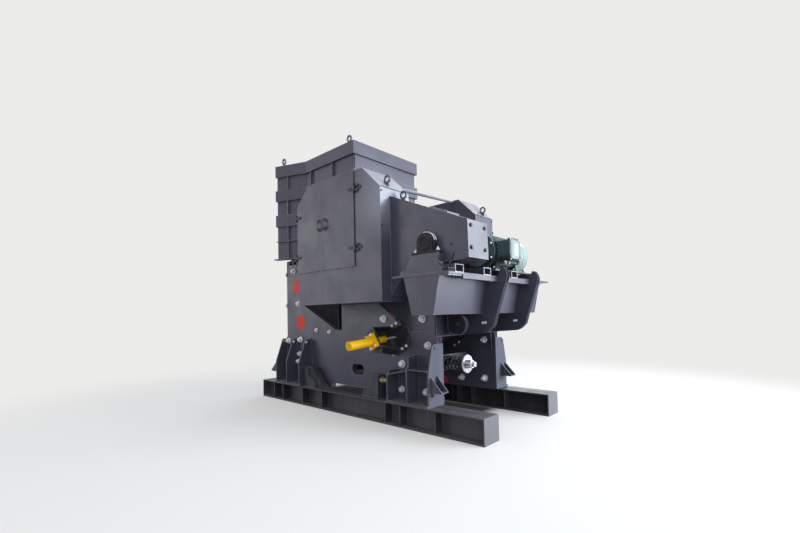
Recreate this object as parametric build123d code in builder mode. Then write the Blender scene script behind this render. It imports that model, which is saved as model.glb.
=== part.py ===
from build123d import *
import os
from math import acos, atan2, cos, degrees, hypot, radians, sin, tan

# Jaw crusher on two skid beams, with feed hopper, flywheel guards and motor platform.
# Millimetres. X runs from the feed end to the motor end, Y across, Z up.
# The near side, with the guard doors that open, faces -Y. Origin on the ground, mid-length.

# Skid beams
skid_length = 5680
beam_width = 364
beam_height = 357
beam_flange = 21
beam_web = 16
beam_inner_y = 798
beam_end_plate = 20
stiffener_thickness = 16
stiffener_inset = 12
stiffener_places = [-2392, -1326, -696, 993, 1324, 2016]

# Side plates of the crusher frame
plate_inner_y = 780
plate_thickness = 100
plate_front_x = -2290
plate_rear_x = 1870
plate_top_z = 2930
plate_rear_shoulder_z = 1750
plate_top_rear_x = 1070
arch_front_x = -740
arch_rear_x = 260
arch_height = 95
pocket_depth = 85
recess_depth = 20
oval_hole_length = 330
oval_hole_height = 190
oval_hole_x = 38
oval_hole_z = 761

# Main shaft, bearings and flywheels
shaft_x = 310
shaft_z = plate_top_z
shaft_radius = 150
housing_radius = 400
housing_outer_y = 940
seat_clearance = 0.3
flywheel_radius = 950
flywheel_inner_y = 1010
flywheel_width = 360
flywheel_rim = 150
flywheel_web = 90
flywheel_hub_radius = 240
flywheel_hole_radius = 130
flywheel_hole_circle = 520
flywheel_holes = 6
shaft_stub = 10
belt_channel_depth = 18
belt_channel_width = 250

# Front wall and jaws
front_wall_rear_x = -1660
front_wall_thickness = 100
front_rib_thickness = 60
front_rib_levels = [470, 980, 1500, 2020, 2540]
jaw_plate_thickness = 160
jaw_half_width = 725
jaw_top_z = 2800
jaw_bottom_z = 800
swing_face_top_x = -400
swing_face_bottom_x = -1240
tooth_count = 12
tooth_depth = 50
cheek_margin = 20
cheek_thickness = 40
pitman_half_width = 610
housing_inner_y = pitman_half_width + 30
pitman_head_radius = 380

# Toggle, wedges and their housings
wedge_radius = 148
slot_clearance = 0.3
wedge_front_x = 850
wedge_front_z = 1234
wedge_rear_x = 1150
wedge_rear_z = 1400
wedge_inner_y = 500
wedge_core_radius = 100
wedge_recess = 45
toggle_half_width = 480
toggle_thickness = 120
toggle_seat_x = -300
toggle_seat_z = 1090
housing_reach = 425
housing_sheet = 25

# Hydraulic adjusting cylinders
cylinder_x = 947
cylinder_z = 1315
cylinder_tilt = 5
cylinder_radius = 68
cylinder_length = 445
cylinder_flange_width = 176
cylinder_flange_height = 236
cylinder_flange_thickness = 60
flange_gap = 13.2
gland_radius = 57
gland_length = 250
rod_radius = 18

# Rear beam, tension rod and spring
rear_beam_front_x = 1300
rear_beam_bottom_z = 1385
rear_beam_top_z = 1740
rear_flange = 25
rear_beam_wall = 40
beam_gusset_x = 1812
beam_gusset_thickness = 20
beam_gusset_low_z = 1071
beam_gusset_top_width = 80
beam_gusset_low_width = 48
rod_z = 880
rod_eye_radius = 58
rod_pin_radius = 18
tension_rod_radius = 42
spring_front_x = 1370
spring_rear_x = 1790
spring_radius = 105
spring_wire = 16
spring_turns = 5
washer_radius = 150
washer_thickness = 24
spring_seat_thickness = 30
spring_seat_half_height = 135

# Flywheel guards
guard_inner_y = 952
guard_outer_y = 1572
guard_front_x = -739
guard_rear_x = 1420
guard_top_z = 3993
guard_bottom_z = 1925
guard_top_front_x = -394
guard_top_rear_x = 1027
guard_front_shoulder_z = 3697
guard_rear_shoulder_z = 3623
guard_sheet = 8
guard_foot_size = 120
guard_foot_places = [(-600, 2820), (-600, 2080), (760, 2080)]

# Guard doors
door_thickness = 8
door_standoff = 10
door_meeting_x = 20
door_gap = 8
door_rear_edge_x = 839
door_bottom_z = 2493
door_return = 6
door_overlap = 60
hinge_pin_radius = 9
hinge_barrel_radius = 16
hinge_y = 1598
hinge_clearance = 0.1
hinge_knuckle = 44
hinge_lug = 30
hinge_gap = 3
front_hinge_x = -752
rear_hinge_x = 857
front_hinge_levels = [2781, 3496]
rear_hinge_levels = [2784, 3705]
hinge_strap_height = 40
strap_thickness = 8
handle_z = 3265
handle_inset = 75

# Belt guard, belt and jackshaft
belt_guard_inner_y = 900
belt_guard_outer_y = 1370
belt_guard_rear_x = 2810
jackshaft_x = 2170
jackshaft_z = 2690
jackshaft_radius = 60
pulley_radius = 220
belt_thickness = 14
belt_clearance = 0.3
belt_window_top_z = 3480
belt_window_bottom_z = 2080
belt_width = 230
coupling_radius = 150

# Motor platform
tray_top_front_x = 1780
tray_top_rear_x = 2420
tray_bottom_front_x = 1930
tray_bottom_rear_x = 2310
tray_bottom_z = 1715
deck_bottom_z = 2245
deck_thickness = 25
deck_front_x = 1570
deck_rear_x = 2590
deck_half_length = 1505
tray_half_length = deck_half_length - 15
edge_channel_height = 53
edge_channel_start_y = -1187
edge_channel_end_y = 1187
edge_channel_depth = 70
edge_strip_height = 22
tray_sheet = 12
tube_width = 190
tube_height = 108
tube_wall = 9
tube_places = [-1267, -574, 235, 990]
near_tube_front_x = 2060
arm_thickness = 76
arm_plate = 18
arm_places = [-237, 798]
lug_y = -600
lug_thickness = 70

# Motor
motor_radius = 285
motor_front_y = -172
motor_rear_y = 730
motor_flange_radius = 320
motor_flange_thickness = 28
motor_fin_count = 36
motor_fin_height = 24
motor_foot_width = 90
motor_foot_spread = 254
motor_feet = [(-120, 70), (510, 700)]
motor_rail_thickness = 22
motor_rail_width = 120
motor_rail_start_y = -160
motor_rail_end_y = 1085
cowl_radius = 298
cowl_length = 270
cowl_chamfer = 30
terminal_box_front_x = 2700
terminal_box_y = 68
terminal_box_z = 2693
terminal_box_width = 322
terminal_box_height = 352
terminal_cover = 40

# Pedestal and bearing
pedestal_outer_y = 1500
pedestal_inner_y = 1378
pedestal_top_z = 2531
bearing_radius = 135
bearing_foot_height = 38

# Hopper
hopper_half_width = 831
hopper_rear_x = -27
hopper_kink_x = -1520
hopper_front_x = -2240
hopper_flare_y = 1110
hopper_sheet = 20
hopper_top_z = 4948
hopper_rear_bottom_z = 3350
hopper_flange_thickness = 20
hopper_flange_reach = 130
band_reach = 45
hopper_height = hopper_top_z - plate_top_z
band_shares = [(0.882, 1), (0.6234, 0.7374), (0.3523, 0.4752), (0.1938, 0.2012)]
band_levels = [(plate_top_z + low * hopper_height, plate_top_z + high * hopper_height)
               for low, high in band_shares]
deflector_x = -560
deflector_z = 3080
hopper_rib_places = [-1960, -1364, -644]
hopper_rib_walls = [1001, 831, 831]
hopper_rib_thickness = 16
sill_top_z = 3420

# Feet
foot_base_thickness = 30
foot_back_plate = 25
foot_gusset = 25
foot_outer_y = 1165
foot_top_z = 1260
front_gusset_places = [-2270, -1880, -1420]
rear_gusset_x = 1068
rear_mid_gusset_x = 1492
front_ear_reach = 238
rear_ear_reach = 205
ear_sheet = 16

# Lifting eyes
eye_outer_radius = 66
eye_inner_radius = 40
eye_thickness = 26


def outline(plane, points):
    # a closed face drawn on a plane from corner points
    with BuildSketch(plane) as sketch:
        with BuildLine():
            Polyline(*points, close=True)
        make_face()
    return sketch.sketch


def side_slab(points, y_low, y_high, mode=Mode.ADD):
    # an outline in X and Z carried from one Y to another
    extrude(outline(Plane.XZ.offset(-y_high), points), amount=y_high - y_low, mode=mode)


def cross_slab(points, x_low, x_high, mode=Mode.ADD):
    # an outline in Y and Z carried from one X to another
    extrude(outline(Plane.YZ.offset(x_low), points), amount=x_high - x_low, mode=mode)


def flat_slab(points, z_low, z_high, mode=Mode.ADD):
    # an outline in X and Y carried from one Z to another
    extrude(outline(Plane.XY.offset(z_low), points), amount=z_high - z_low, mode=mode)


def block(x_low, x_high, y_low, y_high, z_low, z_high, mode=Mode.ADD):
    # a plain rectangular block between two corners
    corners = [(x_low, y_low), (x_high, y_low), (x_high, y_high), (x_low, y_high)]
    flat_slab(corners, z_low, z_high, mode)


def cross_disc(x, z, radius, y_low, y_high, mode=Mode.ADD):
    # a round bar or bore lying across the machine
    with BuildSketch(Plane.XZ.offset(-y_high)) as sketch:
        with Locations((x, z)):
            Circle(radius)
    extrude(sketch.sketch, amount=y_high - y_low, mode=mode)


def slot_slab(ends, radius, y_low, y_high, mode=Mode.ADD):
    # a bar with two round ends, lying across the machine
    (x1, z1), (x2, z2) = ends
    with BuildSketch(Plane.XZ.offset(-y_high)) as sketch:
        with Locations(((x1 + x2) / 2, (z1 + z2) / 2)):
            SlotCenterToCenter(hypot(x2 - x1, z2 - z1), 2 * radius,
                               rotation=degrees(atan2(z2 - z1, x2 - x1)))
    extrude(sketch.sketch, amount=y_high - y_low, mode=mode)


def save(builder, name):
    # one STEP file for each named piece
    builder.part.label = name
    export_step(builder.part, f"parts/{name}.step")


os.makedirs("parts", exist_ok=True)

plate_outer_y = plate_inner_y + plate_thickness
beam_centre_y = beam_inner_y + beam_width / 2

# Skid beams: wide-flange beams with closed ends and web stiffeners
with BuildPart() as skid_beams:
    half = skid_length / 2
    with BuildSketch(Plane.YZ.offset(-half)):
        with Locations((-beam_centre_y, beam_height / 2)):
            Rectangle(beam_width, beam_height)
            with Locations((beam_width / 4 + beam_web / 4, 0), (-beam_width / 4 - beam_web / 4, 0)):
                Rectangle(beam_width / 2 - beam_web / 2, beam_height - 2 * beam_flange,
                          mode=Mode.SUBTRACT)
    extrude(amount=skid_length)
    outer_y = -beam_inner_y - beam_width
    for x in [-half + beam_end_plate / 2, half - beam_end_plate / 2]:
        block(x - beam_end_plate / 2, x + beam_end_plate / 2, outer_y, -beam_inner_y, 0, beam_height)
    for x in stiffener_places:
        block(x - stiffener_thickness / 2, x + stiffener_thickness / 2,
              outer_y + stiffener_inset, -beam_inner_y - stiffener_inset,
              beam_flange / 2, beam_height - beam_flange / 2)
    mirror(about=Plane.XZ)
save(skid_beams, "skid_beams")

# Side plates with bearing saddle, wedge slot, pocket and oval hole
wedge_ends = [(wedge_front_x, wedge_front_z), (wedge_rear_x, wedge_rear_z)]
side_outline = [
    (plate_front_x, beam_height), (arch_front_x, beam_height),
    (arch_front_x, beam_height + arch_height), (arch_rear_x, beam_height + arch_height),
    (arch_rear_x, beam_height), (plate_rear_x, beam_height),
    (plate_rear_x, plate_rear_shoulder_z), (plate_top_rear_x, plate_top_z), (plate_front_x, plate_top_z)]
pocket_outline = [(-1640, 1950), (-581, 1459), (-399, 1459), (-399, 2200), (-1640, 2200)]
recess_outline = [(620, 1914), (1130, 1560), (1330, 1460), (plate_rear_x, 1460),
                  (plate_rear_x, 2600), (620, 2600)]
with BuildPart() as side_plate_near:
    side_slab(side_outline, -plate_outer_y, -plate_inner_y)
    cross_disc(shaft_x, shaft_z, housing_radius + seat_clearance,
               -plate_outer_y, -plate_inner_y, Mode.SUBTRACT)
    slot_slab(wedge_ends, wedge_radius + slot_clearance,
              -plate_outer_y, -plate_inner_y, Mode.SUBTRACT)
    side_slab(pocket_outline, -plate_outer_y, -plate_outer_y + pocket_depth, Mode.SUBTRACT)
    side_slab(recess_outline, -plate_outer_y, -plate_outer_y + recess_depth, Mode.SUBTRACT)
    block(-520, -490, -plate_outer_y, -plate_outer_y + pocket_depth, 1440, 2200)
    slot_slab([(oval_hole_x - oval_hole_length / 2 + oval_hole_height / 2, oval_hole_z),
               (oval_hole_x + oval_hole_length / 2 - oval_hole_height / 2, oval_hole_z)],
              oval_hole_height / 2, -plate_outer_y, -plate_inner_y, Mode.SUBTRACT)
save(side_plate_near, "side_plate_near")

with BuildPart() as side_plate_far:
    add(mirror(side_plate_near.part, about=Plane.XZ, mode=Mode.PRIVATE))
save(side_plate_far, "side_plate_far")

# Front wall with deep horizontal ribs and two uprights
inner_y = plate_inner_y
wall_front_x = front_wall_rear_x - front_wall_thickness
with BuildPart() as front_wall:
    block(wall_front_x, front_wall_rear_x, -inner_y, inner_y, beam_height + arch_height, plate_top_z)
    for z in front_rib_levels:
        block(plate_front_x + 20, wall_front_x, -inner_y, inner_y, z, z + front_rib_thickness)
    for y in [-inner_y / 3, inner_y / 3]:
        block(plate_front_x + 80, wall_front_x, y - front_rib_thickness / 2,
              y + front_rib_thickness / 2, front_rib_levels[0], front_rib_levels[-1])
save(front_wall, "front_wall")

# Rear beam: a box girder across the side plates, with a flange behind them
with BuildPart() as rear_beam:
    block(rear_beam_front_x, plate_rear_x, -inner_y, inner_y, rear_beam_bottom_z, rear_beam_top_z)
    for side in [-1, 1]:
        cross_slab([(side * inner_y, rear_beam_bottom_z),
                    (side * (inner_y - beam_gusset_top_width), rear_beam_bottom_z),
                    (side * (inner_y - beam_gusset_low_width), beam_gusset_low_z),
                    (side * inner_y, beam_gusset_low_z)],
                   beam_gusset_x, beam_gusset_x + beam_gusset_thickness)
    block(rear_beam_front_x + rear_beam_wall, plate_rear_x - rear_beam_wall, -inner_y, inner_y,
          rear_beam_bottom_z + rear_beam_wall, rear_beam_top_z - rear_beam_wall, Mode.SUBTRACT)
    for y in [-inner_y / 2, 0, inner_y / 2]:
        block(rear_beam_front_x + 30, plate_rear_x - 20, y - 20, y + 20,
              rear_beam_bottom_z + 20, rear_beam_top_z - 20)
    block(plate_rear_x, plate_rear_x + rear_flange, -930, 930, rear_beam_bottom_z, rear_beam_top_z)
save(rear_beam, "rear_beam")

# Fixed and swing jaw plates with upright teeth
tooth_pitch = 2 * jaw_half_width / tooth_count


def tooth_row(depth):
    # the section of a toothed jaw plate: crests and valleys across its face
    points = [(0, -jaw_half_width)]
    for tooth in range(tooth_count):
        start = -jaw_half_width + tooth * tooth_pitch
        points += [(depth - tooth_depth, start), (depth, start + tooth_pitch * 0.35),
                   (depth, start + tooth_pitch * 0.65)]
    return points + [(depth - tooth_depth, jaw_half_width), (0, jaw_half_width)]


with BuildPart() as fixed_jaw_plate:
    flat_slab([(front_wall_rear_x + x, y) for x, y in tooth_row(jaw_plate_thickness)],
              jaw_bottom_z, jaw_top_z)
save(fixed_jaw_plate, "fixed_jaw_plate")

swing_drop = jaw_top_z - jaw_bottom_z
swing_run = swing_face_top_x - swing_face_bottom_x
swing_length = hypot(swing_drop, swing_run)
up_swing = Vector(swing_run / swing_length, 0, swing_drop / swing_length)
swing_normal = Vector(-swing_drop / swing_length, 0, swing_run / swing_length)
swing_back_foot = Vector(swing_face_bottom_x, 0, jaw_bottom_z) - swing_normal * jaw_plate_thickness
swing_plane = Plane(origin=swing_back_foot, x_dir=swing_normal, z_dir=up_swing)
with BuildPart() as swing_jaw_plate:
    extrude(outline(swing_plane, tooth_row(jaw_plate_thickness)), amount=swing_length)
save(swing_jaw_plate, "swing_jaw_plate")

# Swing jaw: the pitman, hung on the eccentric shaft
swing_back_head = swing_back_foot + up_swing * swing_length
with BuildPart() as swing_jaw:
    side_slab([(swing_back_foot.X, swing_back_foot.Z), (swing_back_head.X, swing_back_head.Z),
               (shaft_x - 60, shaft_z + pitman_head_radius - 40), (shaft_x + 250, shaft_z - 280),
               (toggle_seat_x + 60, toggle_seat_z + 200), (toggle_seat_x + 60, toggle_seat_z - 120),
               (swing_back_foot.X + 220, jaw_bottom_z - 40)],
              -pitman_half_width, pitman_half_width)
    cross_disc(shaft_x, shaft_z, pitman_head_radius, -pitman_half_width, pitman_half_width)
    cross_disc(shaft_x, shaft_z, shaft_radius + seat_clearance,
               -pitman_half_width, pitman_half_width, Mode.SUBTRACT)
    block(toggle_seat_x, toggle_seat_x + 80, -pitman_half_width, pitman_half_width,
          toggle_seat_z - 70, toggle_seat_z + 70, Mode.SUBTRACT)
    for y in [-80, 50]:
        side_slab([(toggle_seat_x - 180, rod_z + 6), (toggle_seat_x + 60, rod_z + 92),
                   (toggle_seat_x + 60, rod_z - 40), (toggle_seat_x - 60, rod_z - 40)], y, y + 30)
    cross_disc(toggle_seat_x, rod_z, rod_pin_radius + slot_clearance, -80, 80, Mode.SUBTRACT)
save(swing_jaw, "swing_jaw")

# Cheek plates line the side plates between the jaws
with BuildPart() as cheek_plates:
    side_slab([(front_wall_rear_x + cheek_margin, jaw_bottom_z),
               (front_wall_rear_x + cheek_margin, jaw_top_z + 80),
               (swing_face_top_x - cheek_margin, jaw_top_z + 80),
               (swing_face_bottom_x - cheek_margin, jaw_bottom_z)],
              -plate_inner_y, -plate_inner_y + cheek_thickness)
    mirror(about=Plane.XZ)
save(cheek_plates, "cheek_plates")

# Toggle plate between the swing jaw and the wedges
toggle_end_x = wedge_front_x - wedge_core_radius - slot_clearance
toggle_start = Vector(toggle_seat_x + slot_clearance, 0, toggle_seat_z)
toggle_end = Vector(toggle_end_x, 0, wedge_front_z)
toggle_half = toggle_thickness / 2
with BuildPart() as toggle_plate:
    side_slab([(toggle_start.X, toggle_start.Z - toggle_half + 10),
               (toggle_end.X, toggle_end.Z - toggle_half + 20),
               (toggle_end.X, toggle_end.Z + toggle_half - 20),
               (toggle_start.X, toggle_start.Z + toggle_half - 10)],
              -toggle_half_width, toggle_half_width)
save(toggle_plate, "toggle_plate")

# Wedge blocks that set the jaw gap
with BuildPart() as wedge_blocks:
    slot_slab(wedge_ends, wedge_radius, -plate_outer_y + wedge_recess, -wedge_inner_y)
    mirror(about=Plane.XZ)
    slot_slab(wedge_ends, wedge_core_radius, -wedge_inner_y, wedge_inner_y)
save(wedge_blocks, "wedge_blocks")

# Wedge housings: a flange on each side plate and a slanted box that carries the cylinder.
# The box is measured along the slot (a) and across it (b), from the cylinder's axis.
slot_run = hypot(wedge_rear_x - wedge_front_x, wedge_rear_z - wedge_front_z)
along_x = (wedge_rear_x - wedge_front_x) / slot_run
along_z = (wedge_rear_z - wedge_front_z) / slot_run
cylinder_plane = Plane(origin=(cylinder_x, -plate_outer_y - housing_reach, cylinder_z),
                       x_dir=(along_x, 0, along_z),
                       z_dir=(0, -cos(radians(cylinder_tilt)), -sin(radians(cylinder_tilt))))
box_left, box_right = -90, 88
box_top = 207
box_foot, box_toe = -240, -130
box_root = plate_outer_y + housing_sheet
box_end = plate_outer_y + housing_reach
box_rise = (box_toe - box_foot) / (box_end - box_root)


def box_slab(corners, a_low, a_high, mode=Mode.ADD):
    # a plate across the slot from (distance outwards, b) corners, between two places along the slot
    slot_plane = Plane(origin=(cylinder_x, 0, cylinder_z), x_dir=(0, -1, 0), z_dir=(along_x, 0, along_z))
    box_face = outline(slot_plane.offset(a_low), [(reach, -b) for reach, b in corners])
    extrude(box_face, amount=a_high - a_low, mode=mode)


with BuildPart() as wedge_housings:
    side_slab([(896, 1533), (1007, 1594), (1104, 1637), (1173, 1551), (1275, 1476), (1349, 1278),
               (1336, 1236), (1040, 1054), (955, 1041), (732, 1065), (700, 1190), (760, 1400)],
              -box_root, -plate_outer_y)
    box_slab([(box_root, box_foot), (box_root, box_top), (box_end, box_top), (box_end, box_toe)],
             box_left, box_right)
    hollow_end = box_end - housing_sheet
    hollow_foot = box_foot + housing_sheet * hypot(1, box_rise)
    box_slab([(box_root, hollow_foot), (box_root, box_top - housing_sheet),
              (hollow_end, box_top - housing_sheet),
              (hollow_end, hollow_foot + box_rise * (hollow_end - box_root))],
             box_left + housing_sheet, box_right, Mode.SUBTRACT)
    side_slab([(881, 1123), (931, 1158), (1087, 1244), (1115, 1236), (1109, 1126)],
              -box_end, -box_end + 16)
    slot_slab(wedge_ends, wedge_radius + slot_clearance, -box_root, -plate_outer_y, Mode.SUBTRACT)
    with BuildSketch(cylinder_plane.offset(20)):
        Circle(gland_radius + 5)
    extrude(amount=-housing_sheet - 40, mode=Mode.SUBTRACT)
    mirror(about=Plane.XZ)
save(wedge_housings, "wedge_housings")

# Adjusting cylinders with square flange, gland and rod
rod_reach = housing_reach + wedge_recess
with BuildPart() as adjusting_cylinders:
    with BuildSketch(cylinder_plane.offset(flange_gap)):
        RectangleRounded(cylinder_flange_width, cylinder_flange_height, 18)
    extrude(amount=cylinder_flange_thickness)
    with BuildSketch(cylinder_plane.offset(flange_gap + cylinder_flange_thickness)):
        Circle(cylinder_radius)
    extrude(amount=cylinder_length)
    with BuildSketch(cylinder_plane.offset(flange_gap)):
        Circle(gland_radius)
    extrude(amount=-gland_length)
    with BuildSketch(cylinder_plane):
        Circle(rod_radius)
    extrude(amount=(-rod_reach + slot_clearance) / cos(radians(cylinder_tilt))
            + rod_radius * tan(radians(cylinder_tilt)))
    mirror(about=Plane.XZ)
save(adjusting_cylinders, "adjusting_cylinders")

# Tension rod with washer and nut, and its spring seat across the frame
with BuildPart() as tension_rod:
    with BuildSketch(Plane.YZ.offset(toggle_seat_x)):
        with Locations((0, rod_z)):
            Circle(tension_rod_radius)
    extrude(amount=spring_rear_x + 170 - toggle_seat_x)
    cross_disc(toggle_seat_x, rod_z, rod_eye_radius, -30, 30)
    cross_disc(toggle_seat_x, rod_z, rod_pin_radius, -85, 85)
    with BuildSketch(Plane.YZ.offset(spring_rear_x)):
        with Locations((0, rod_z)):
            Circle(washer_radius)
    extrude(amount=washer_thickness)
    with BuildSketch(Plane.YZ.offset(spring_rear_x + washer_thickness)):
        with Locations((0, rod_z)):
            RegularPolygon(tension_rod_radius * 1.75, 6)
    extrude(amount=70)
save(tension_rod, "tension_rod")

with BuildPart() as tension_spring:
    coil_length = spring_rear_x - spring_front_x - 2 * spring_wire
    coil_start = (spring_front_x + spring_wire, 0, rod_z)
    with BuildLine() as coil:
        Helix(coil_length / spring_turns, coil_length, spring_radius,
              center=coil_start, direction=(1, 0, 0))
    with BuildSketch(Plane(origin=coil.line @ 0, z_dir=coil.line % 0)):
        RegularPolygon(spring_wire, 6)
    sweep(path=coil.line, is_frenet=True)
save(tension_spring, "tension_spring")

with BuildPart() as spring_seat:
    block(spring_front_x - spring_seat_thickness, spring_front_x, -inner_y, inner_y,
          rod_z - spring_seat_half_height, rod_z + spring_seat_half_height)
    block(spring_front_x - 150, spring_front_x - spring_seat_thickness, -inner_y, inner_y,
          rod_z - spring_seat_half_height, rod_z - spring_seat_half_height + 25)
    with BuildSketch(Plane.YZ.offset(spring_front_x)):
        with Locations((0, rod_z)):
            Circle(tension_rod_radius + 6)
    extrude(amount=-spring_seat_thickness, mode=Mode.SUBTRACT)
save(spring_seat, "spring_seat")

# Eccentric shaft and the bearing housings in the side plates
shaft_end_y = flywheel_inner_y + flywheel_width + shaft_stub
with BuildPart() as eccentric_shaft:
    cross_disc(shaft_x, shaft_z, shaft_radius, -shaft_end_y, shaft_end_y)
save(eccentric_shaft, "eccentric_shaft")

with BuildPart() as bearing_housings:
    cross_disc(shaft_x, shaft_z, housing_radius, -housing_outer_y, -housing_inner_y)
    cross_disc(shaft_x, shaft_z, shaft_radius + seat_clearance, -housing_outer_y,
               -housing_inner_y, Mode.SUBTRACT)
    mirror(about=Plane.XZ)
save(bearing_housings, "bearing_housings")


def flywheel_section(grooved):
    # half section of a flywheel: X is the radius, Y the place across the machine
    outer = flywheel_inner_y + flywheel_width
    middle = flywheel_inner_y + flywheel_width / 2
    channel = belt_channel_width / 2
    bore = shaft_radius + seat_clearance
    web_low = middle - flywheel_web / 2
    web_high = middle + flywheel_web / 2
    rim = flywheel_radius - flywheel_rim
    points = [(bore, flywheel_inner_y + 10), (flywheel_hub_radius, flywheel_inner_y + 10),
              (flywheel_hub_radius, web_low), (rim, web_low), (rim, flywheel_inner_y),
              (flywheel_radius, flywheel_inner_y)]
    if grooved:
        floor = flywheel_radius - belt_channel_depth
        points += [(flywheel_radius, middle - channel), (floor, middle - channel),
                   (floor, middle + channel), (flywheel_radius, middle + channel)]
    points += [(flywheel_radius, outer), (rim, outer), (rim, web_high),
               (flywheel_hub_radius, web_high), (flywheel_hub_radius, outer), (bore, outer)]
    return points


def flywheel(side, grooved):
    # a wheel with web holes on the shaft, on one side of the machine
    wheel_plane = Plane(origin=(shaft_x, 0, shaft_z), x_dir=(1, 0, 0), z_dir=(0, 0, 1))
    section = [(x, side * y) for x, y in flywheel_section(grooved)]
    with BuildPart() as wheel:
        revolve(outline(wheel_plane, section), axis=Axis((shaft_x, 0, shaft_z), (0, 1, 0)))
        for turn in range(flywheel_holes):
            angle = radians(360 / flywheel_holes * turn)
            low, high = sorted([side * flywheel_inner_y, side * (flywheel_inner_y + flywheel_width)])
            cross_disc(shaft_x + flywheel_hole_circle * cos(angle),
                       shaft_z + flywheel_hole_circle * sin(angle),
                       flywheel_hole_radius, low, high, Mode.SUBTRACT)
    return wheel


save(flywheel(-1, True), "flywheel_near")
save(flywheel(1, False), "flywheel_far")

# Drive belt: one loop round the near flywheel and the jackshaft pulley
belt_y = -(flywheel_inner_y + flywheel_width / 2)
big_radius = flywheel_radius - belt_channel_depth + belt_clearance
small_radius = pulley_radius + belt_clearance
centre_span = hypot(jackshaft_x - shaft_x, jackshaft_z - shaft_z)
span_angle = degrees(atan2(jackshaft_z - shaft_z, jackshaft_x - shaft_x))


def belt_outline(extra):
    # the loop's outline at a distance outside the two rims: two arcs and two tangents
    big = big_radius + extra
    small = small_radius + extra
    touch = degrees(acos((big - small) / centre_span))
    upper = radians(span_angle + touch)
    lower = radians(span_angle - touch)
    opposite = radians(span_angle)
    big_top = (shaft_x + big * cos(upper), shaft_z + big * sin(upper))
    big_back = (shaft_x - big * cos(opposite), shaft_z - big * sin(opposite))
    big_low = (shaft_x + big * cos(lower), shaft_z + big * sin(lower))
    small_top = (jackshaft_x + small * cos(upper), jackshaft_z + small * sin(upper))
    small_nose = (jackshaft_x + small * cos(opposite), jackshaft_z + small * sin(opposite))
    small_low = (jackshaft_x + small * cos(lower), jackshaft_z + small * sin(lower))
    with BuildSketch(Plane.XZ.offset(-belt_y - belt_width / 2)) as sketch:
        with BuildLine():
            ThreePointArc(big_top, big_back, big_low)
            Line(big_low, small_low)
            ThreePointArc(small_low, small_nose, small_top)
            Line(small_top, big_top)
        make_face()
    return sketch.sketch


with BuildPart() as drive_belt:
    extrude(belt_outline(belt_thickness), amount=belt_width)
    extrude(belt_outline(0), amount=belt_width, mode=Mode.SUBTRACT)
save(drive_belt, "drive_belt")

# Jackshaft with its belt pulley and the coupling to the motor
with BuildPart() as jackshaft:
    cross_disc(jackshaft_x, jackshaft_z, jackshaft_radius, -pedestal_outer_y + 45, motor_front_y - 60)
    cross_disc(jackshaft_x, jackshaft_z, pulley_radius, belt_y - belt_width / 2 - 15,
               belt_y + belt_width / 2 + 15)
    cross_disc(jackshaft_x, jackshaft_z, coupling_radius, -700, -360)
    cross_disc(jackshaft_x, jackshaft_z, coupling_radius - 35, -360, motor_front_y - 60)
save(jackshaft, "jackshaft")

# Flywheel guards: sheet housings, open at the bottom of the belt side
guard_outline = [
    (guard_front_x, guard_bottom_z), (guard_rear_x, guard_bottom_z),
    (guard_rear_x, guard_rear_shoulder_z), (guard_top_rear_x, guard_top_z),
    (guard_top_front_x, guard_top_z), (guard_front_x, guard_front_shoulder_z)]
sheet = guard_sheet
guard_hollow = [
    (guard_front_x + sheet, guard_bottom_z + sheet), (guard_rear_x - sheet, guard_bottom_z + sheet),
    (guard_rear_x - sheet, guard_rear_shoulder_z - sheet / 2),
    (guard_top_rear_x - sheet / 2, guard_top_z - sheet),
    (guard_top_front_x + sheet / 2, guard_top_z - sheet),
    (guard_front_x + sheet, guard_front_shoulder_z - sheet / 2)]
access_front_x = guard_front_x + door_overlap
access_rear_x = door_rear_edge_x - door_overlap
access_top_z = guard_top_z - door_overlap
access_outline = [
    (access_front_x, door_bottom_z + door_overlap), (access_rear_x, door_bottom_z + door_overlap),
    (access_rear_x, access_top_z), (guard_top_front_x + door_overlap / 2, access_top_z),
    (access_front_x, guard_front_shoulder_z - door_overlap / 2)]


def guard_shell(side):
    # one guard: outer skin, inner wall with the bearing opening, doorway in the outer face
    y_inner, y_outer = side * guard_inner_y, side * guard_outer_y
    low, high = sorted([y_inner, y_outer])
    with BuildPart() as shell:
        side_slab(guard_outline, low, high)
        side_slab(guard_hollow, low + sheet, high - sheet, Mode.SUBTRACT)
        face_low, face_high = sorted([y_outer, y_outer - side * sheet])
        side_slab(access_outline, face_low, face_high, Mode.SUBTRACT)
        wall_low, wall_high = sorted([y_inner, y_inner + side * sheet])
        cross_disc(shaft_x, shaft_z, housing_radius + 30, wall_low, wall_high, Mode.SUBTRACT)
        foot_low, foot_high = sorted([side * plate_outer_y, y_inner])
        for x, z in guard_foot_places:
            block(x, x + guard_foot_size, foot_low, foot_high, z - guard_foot_size, z)
        if side < 0:
            block(guard_rear_x - sheet, guard_rear_x, belt_y - belt_width / 2 - 40,
                  belt_y + belt_width / 2 + 40, belt_window_bottom_z, belt_window_top_z, Mode.SUBTRACT)
    return shell


save(guard_shell(-1), "guard_near")
save(guard_shell(1), "guard_far")

# Doors: two leaves that meet in the middle, hung on their outer edges
door_low_y = -guard_outer_y - door_standoff - door_thickness
door_high_y = -guard_outer_y - door_standoff
front_leaf_edge = guard_front_x + door_return
front_leaf = [
    (front_leaf_edge, door_bottom_z), (door_meeting_x - door_gap / 2, door_bottom_z),
    (door_meeting_x - door_gap / 2, guard_top_z), (guard_top_front_x, guard_top_z),
    (front_leaf_edge, guard_front_shoulder_z)]
rear_leaf = [
    (door_meeting_x + door_gap / 2, door_bottom_z), (door_rear_edge_x, door_bottom_z),
    (door_rear_edge_x, guard_top_z), (door_meeting_x + door_gap / 2, guard_top_z)]


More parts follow.
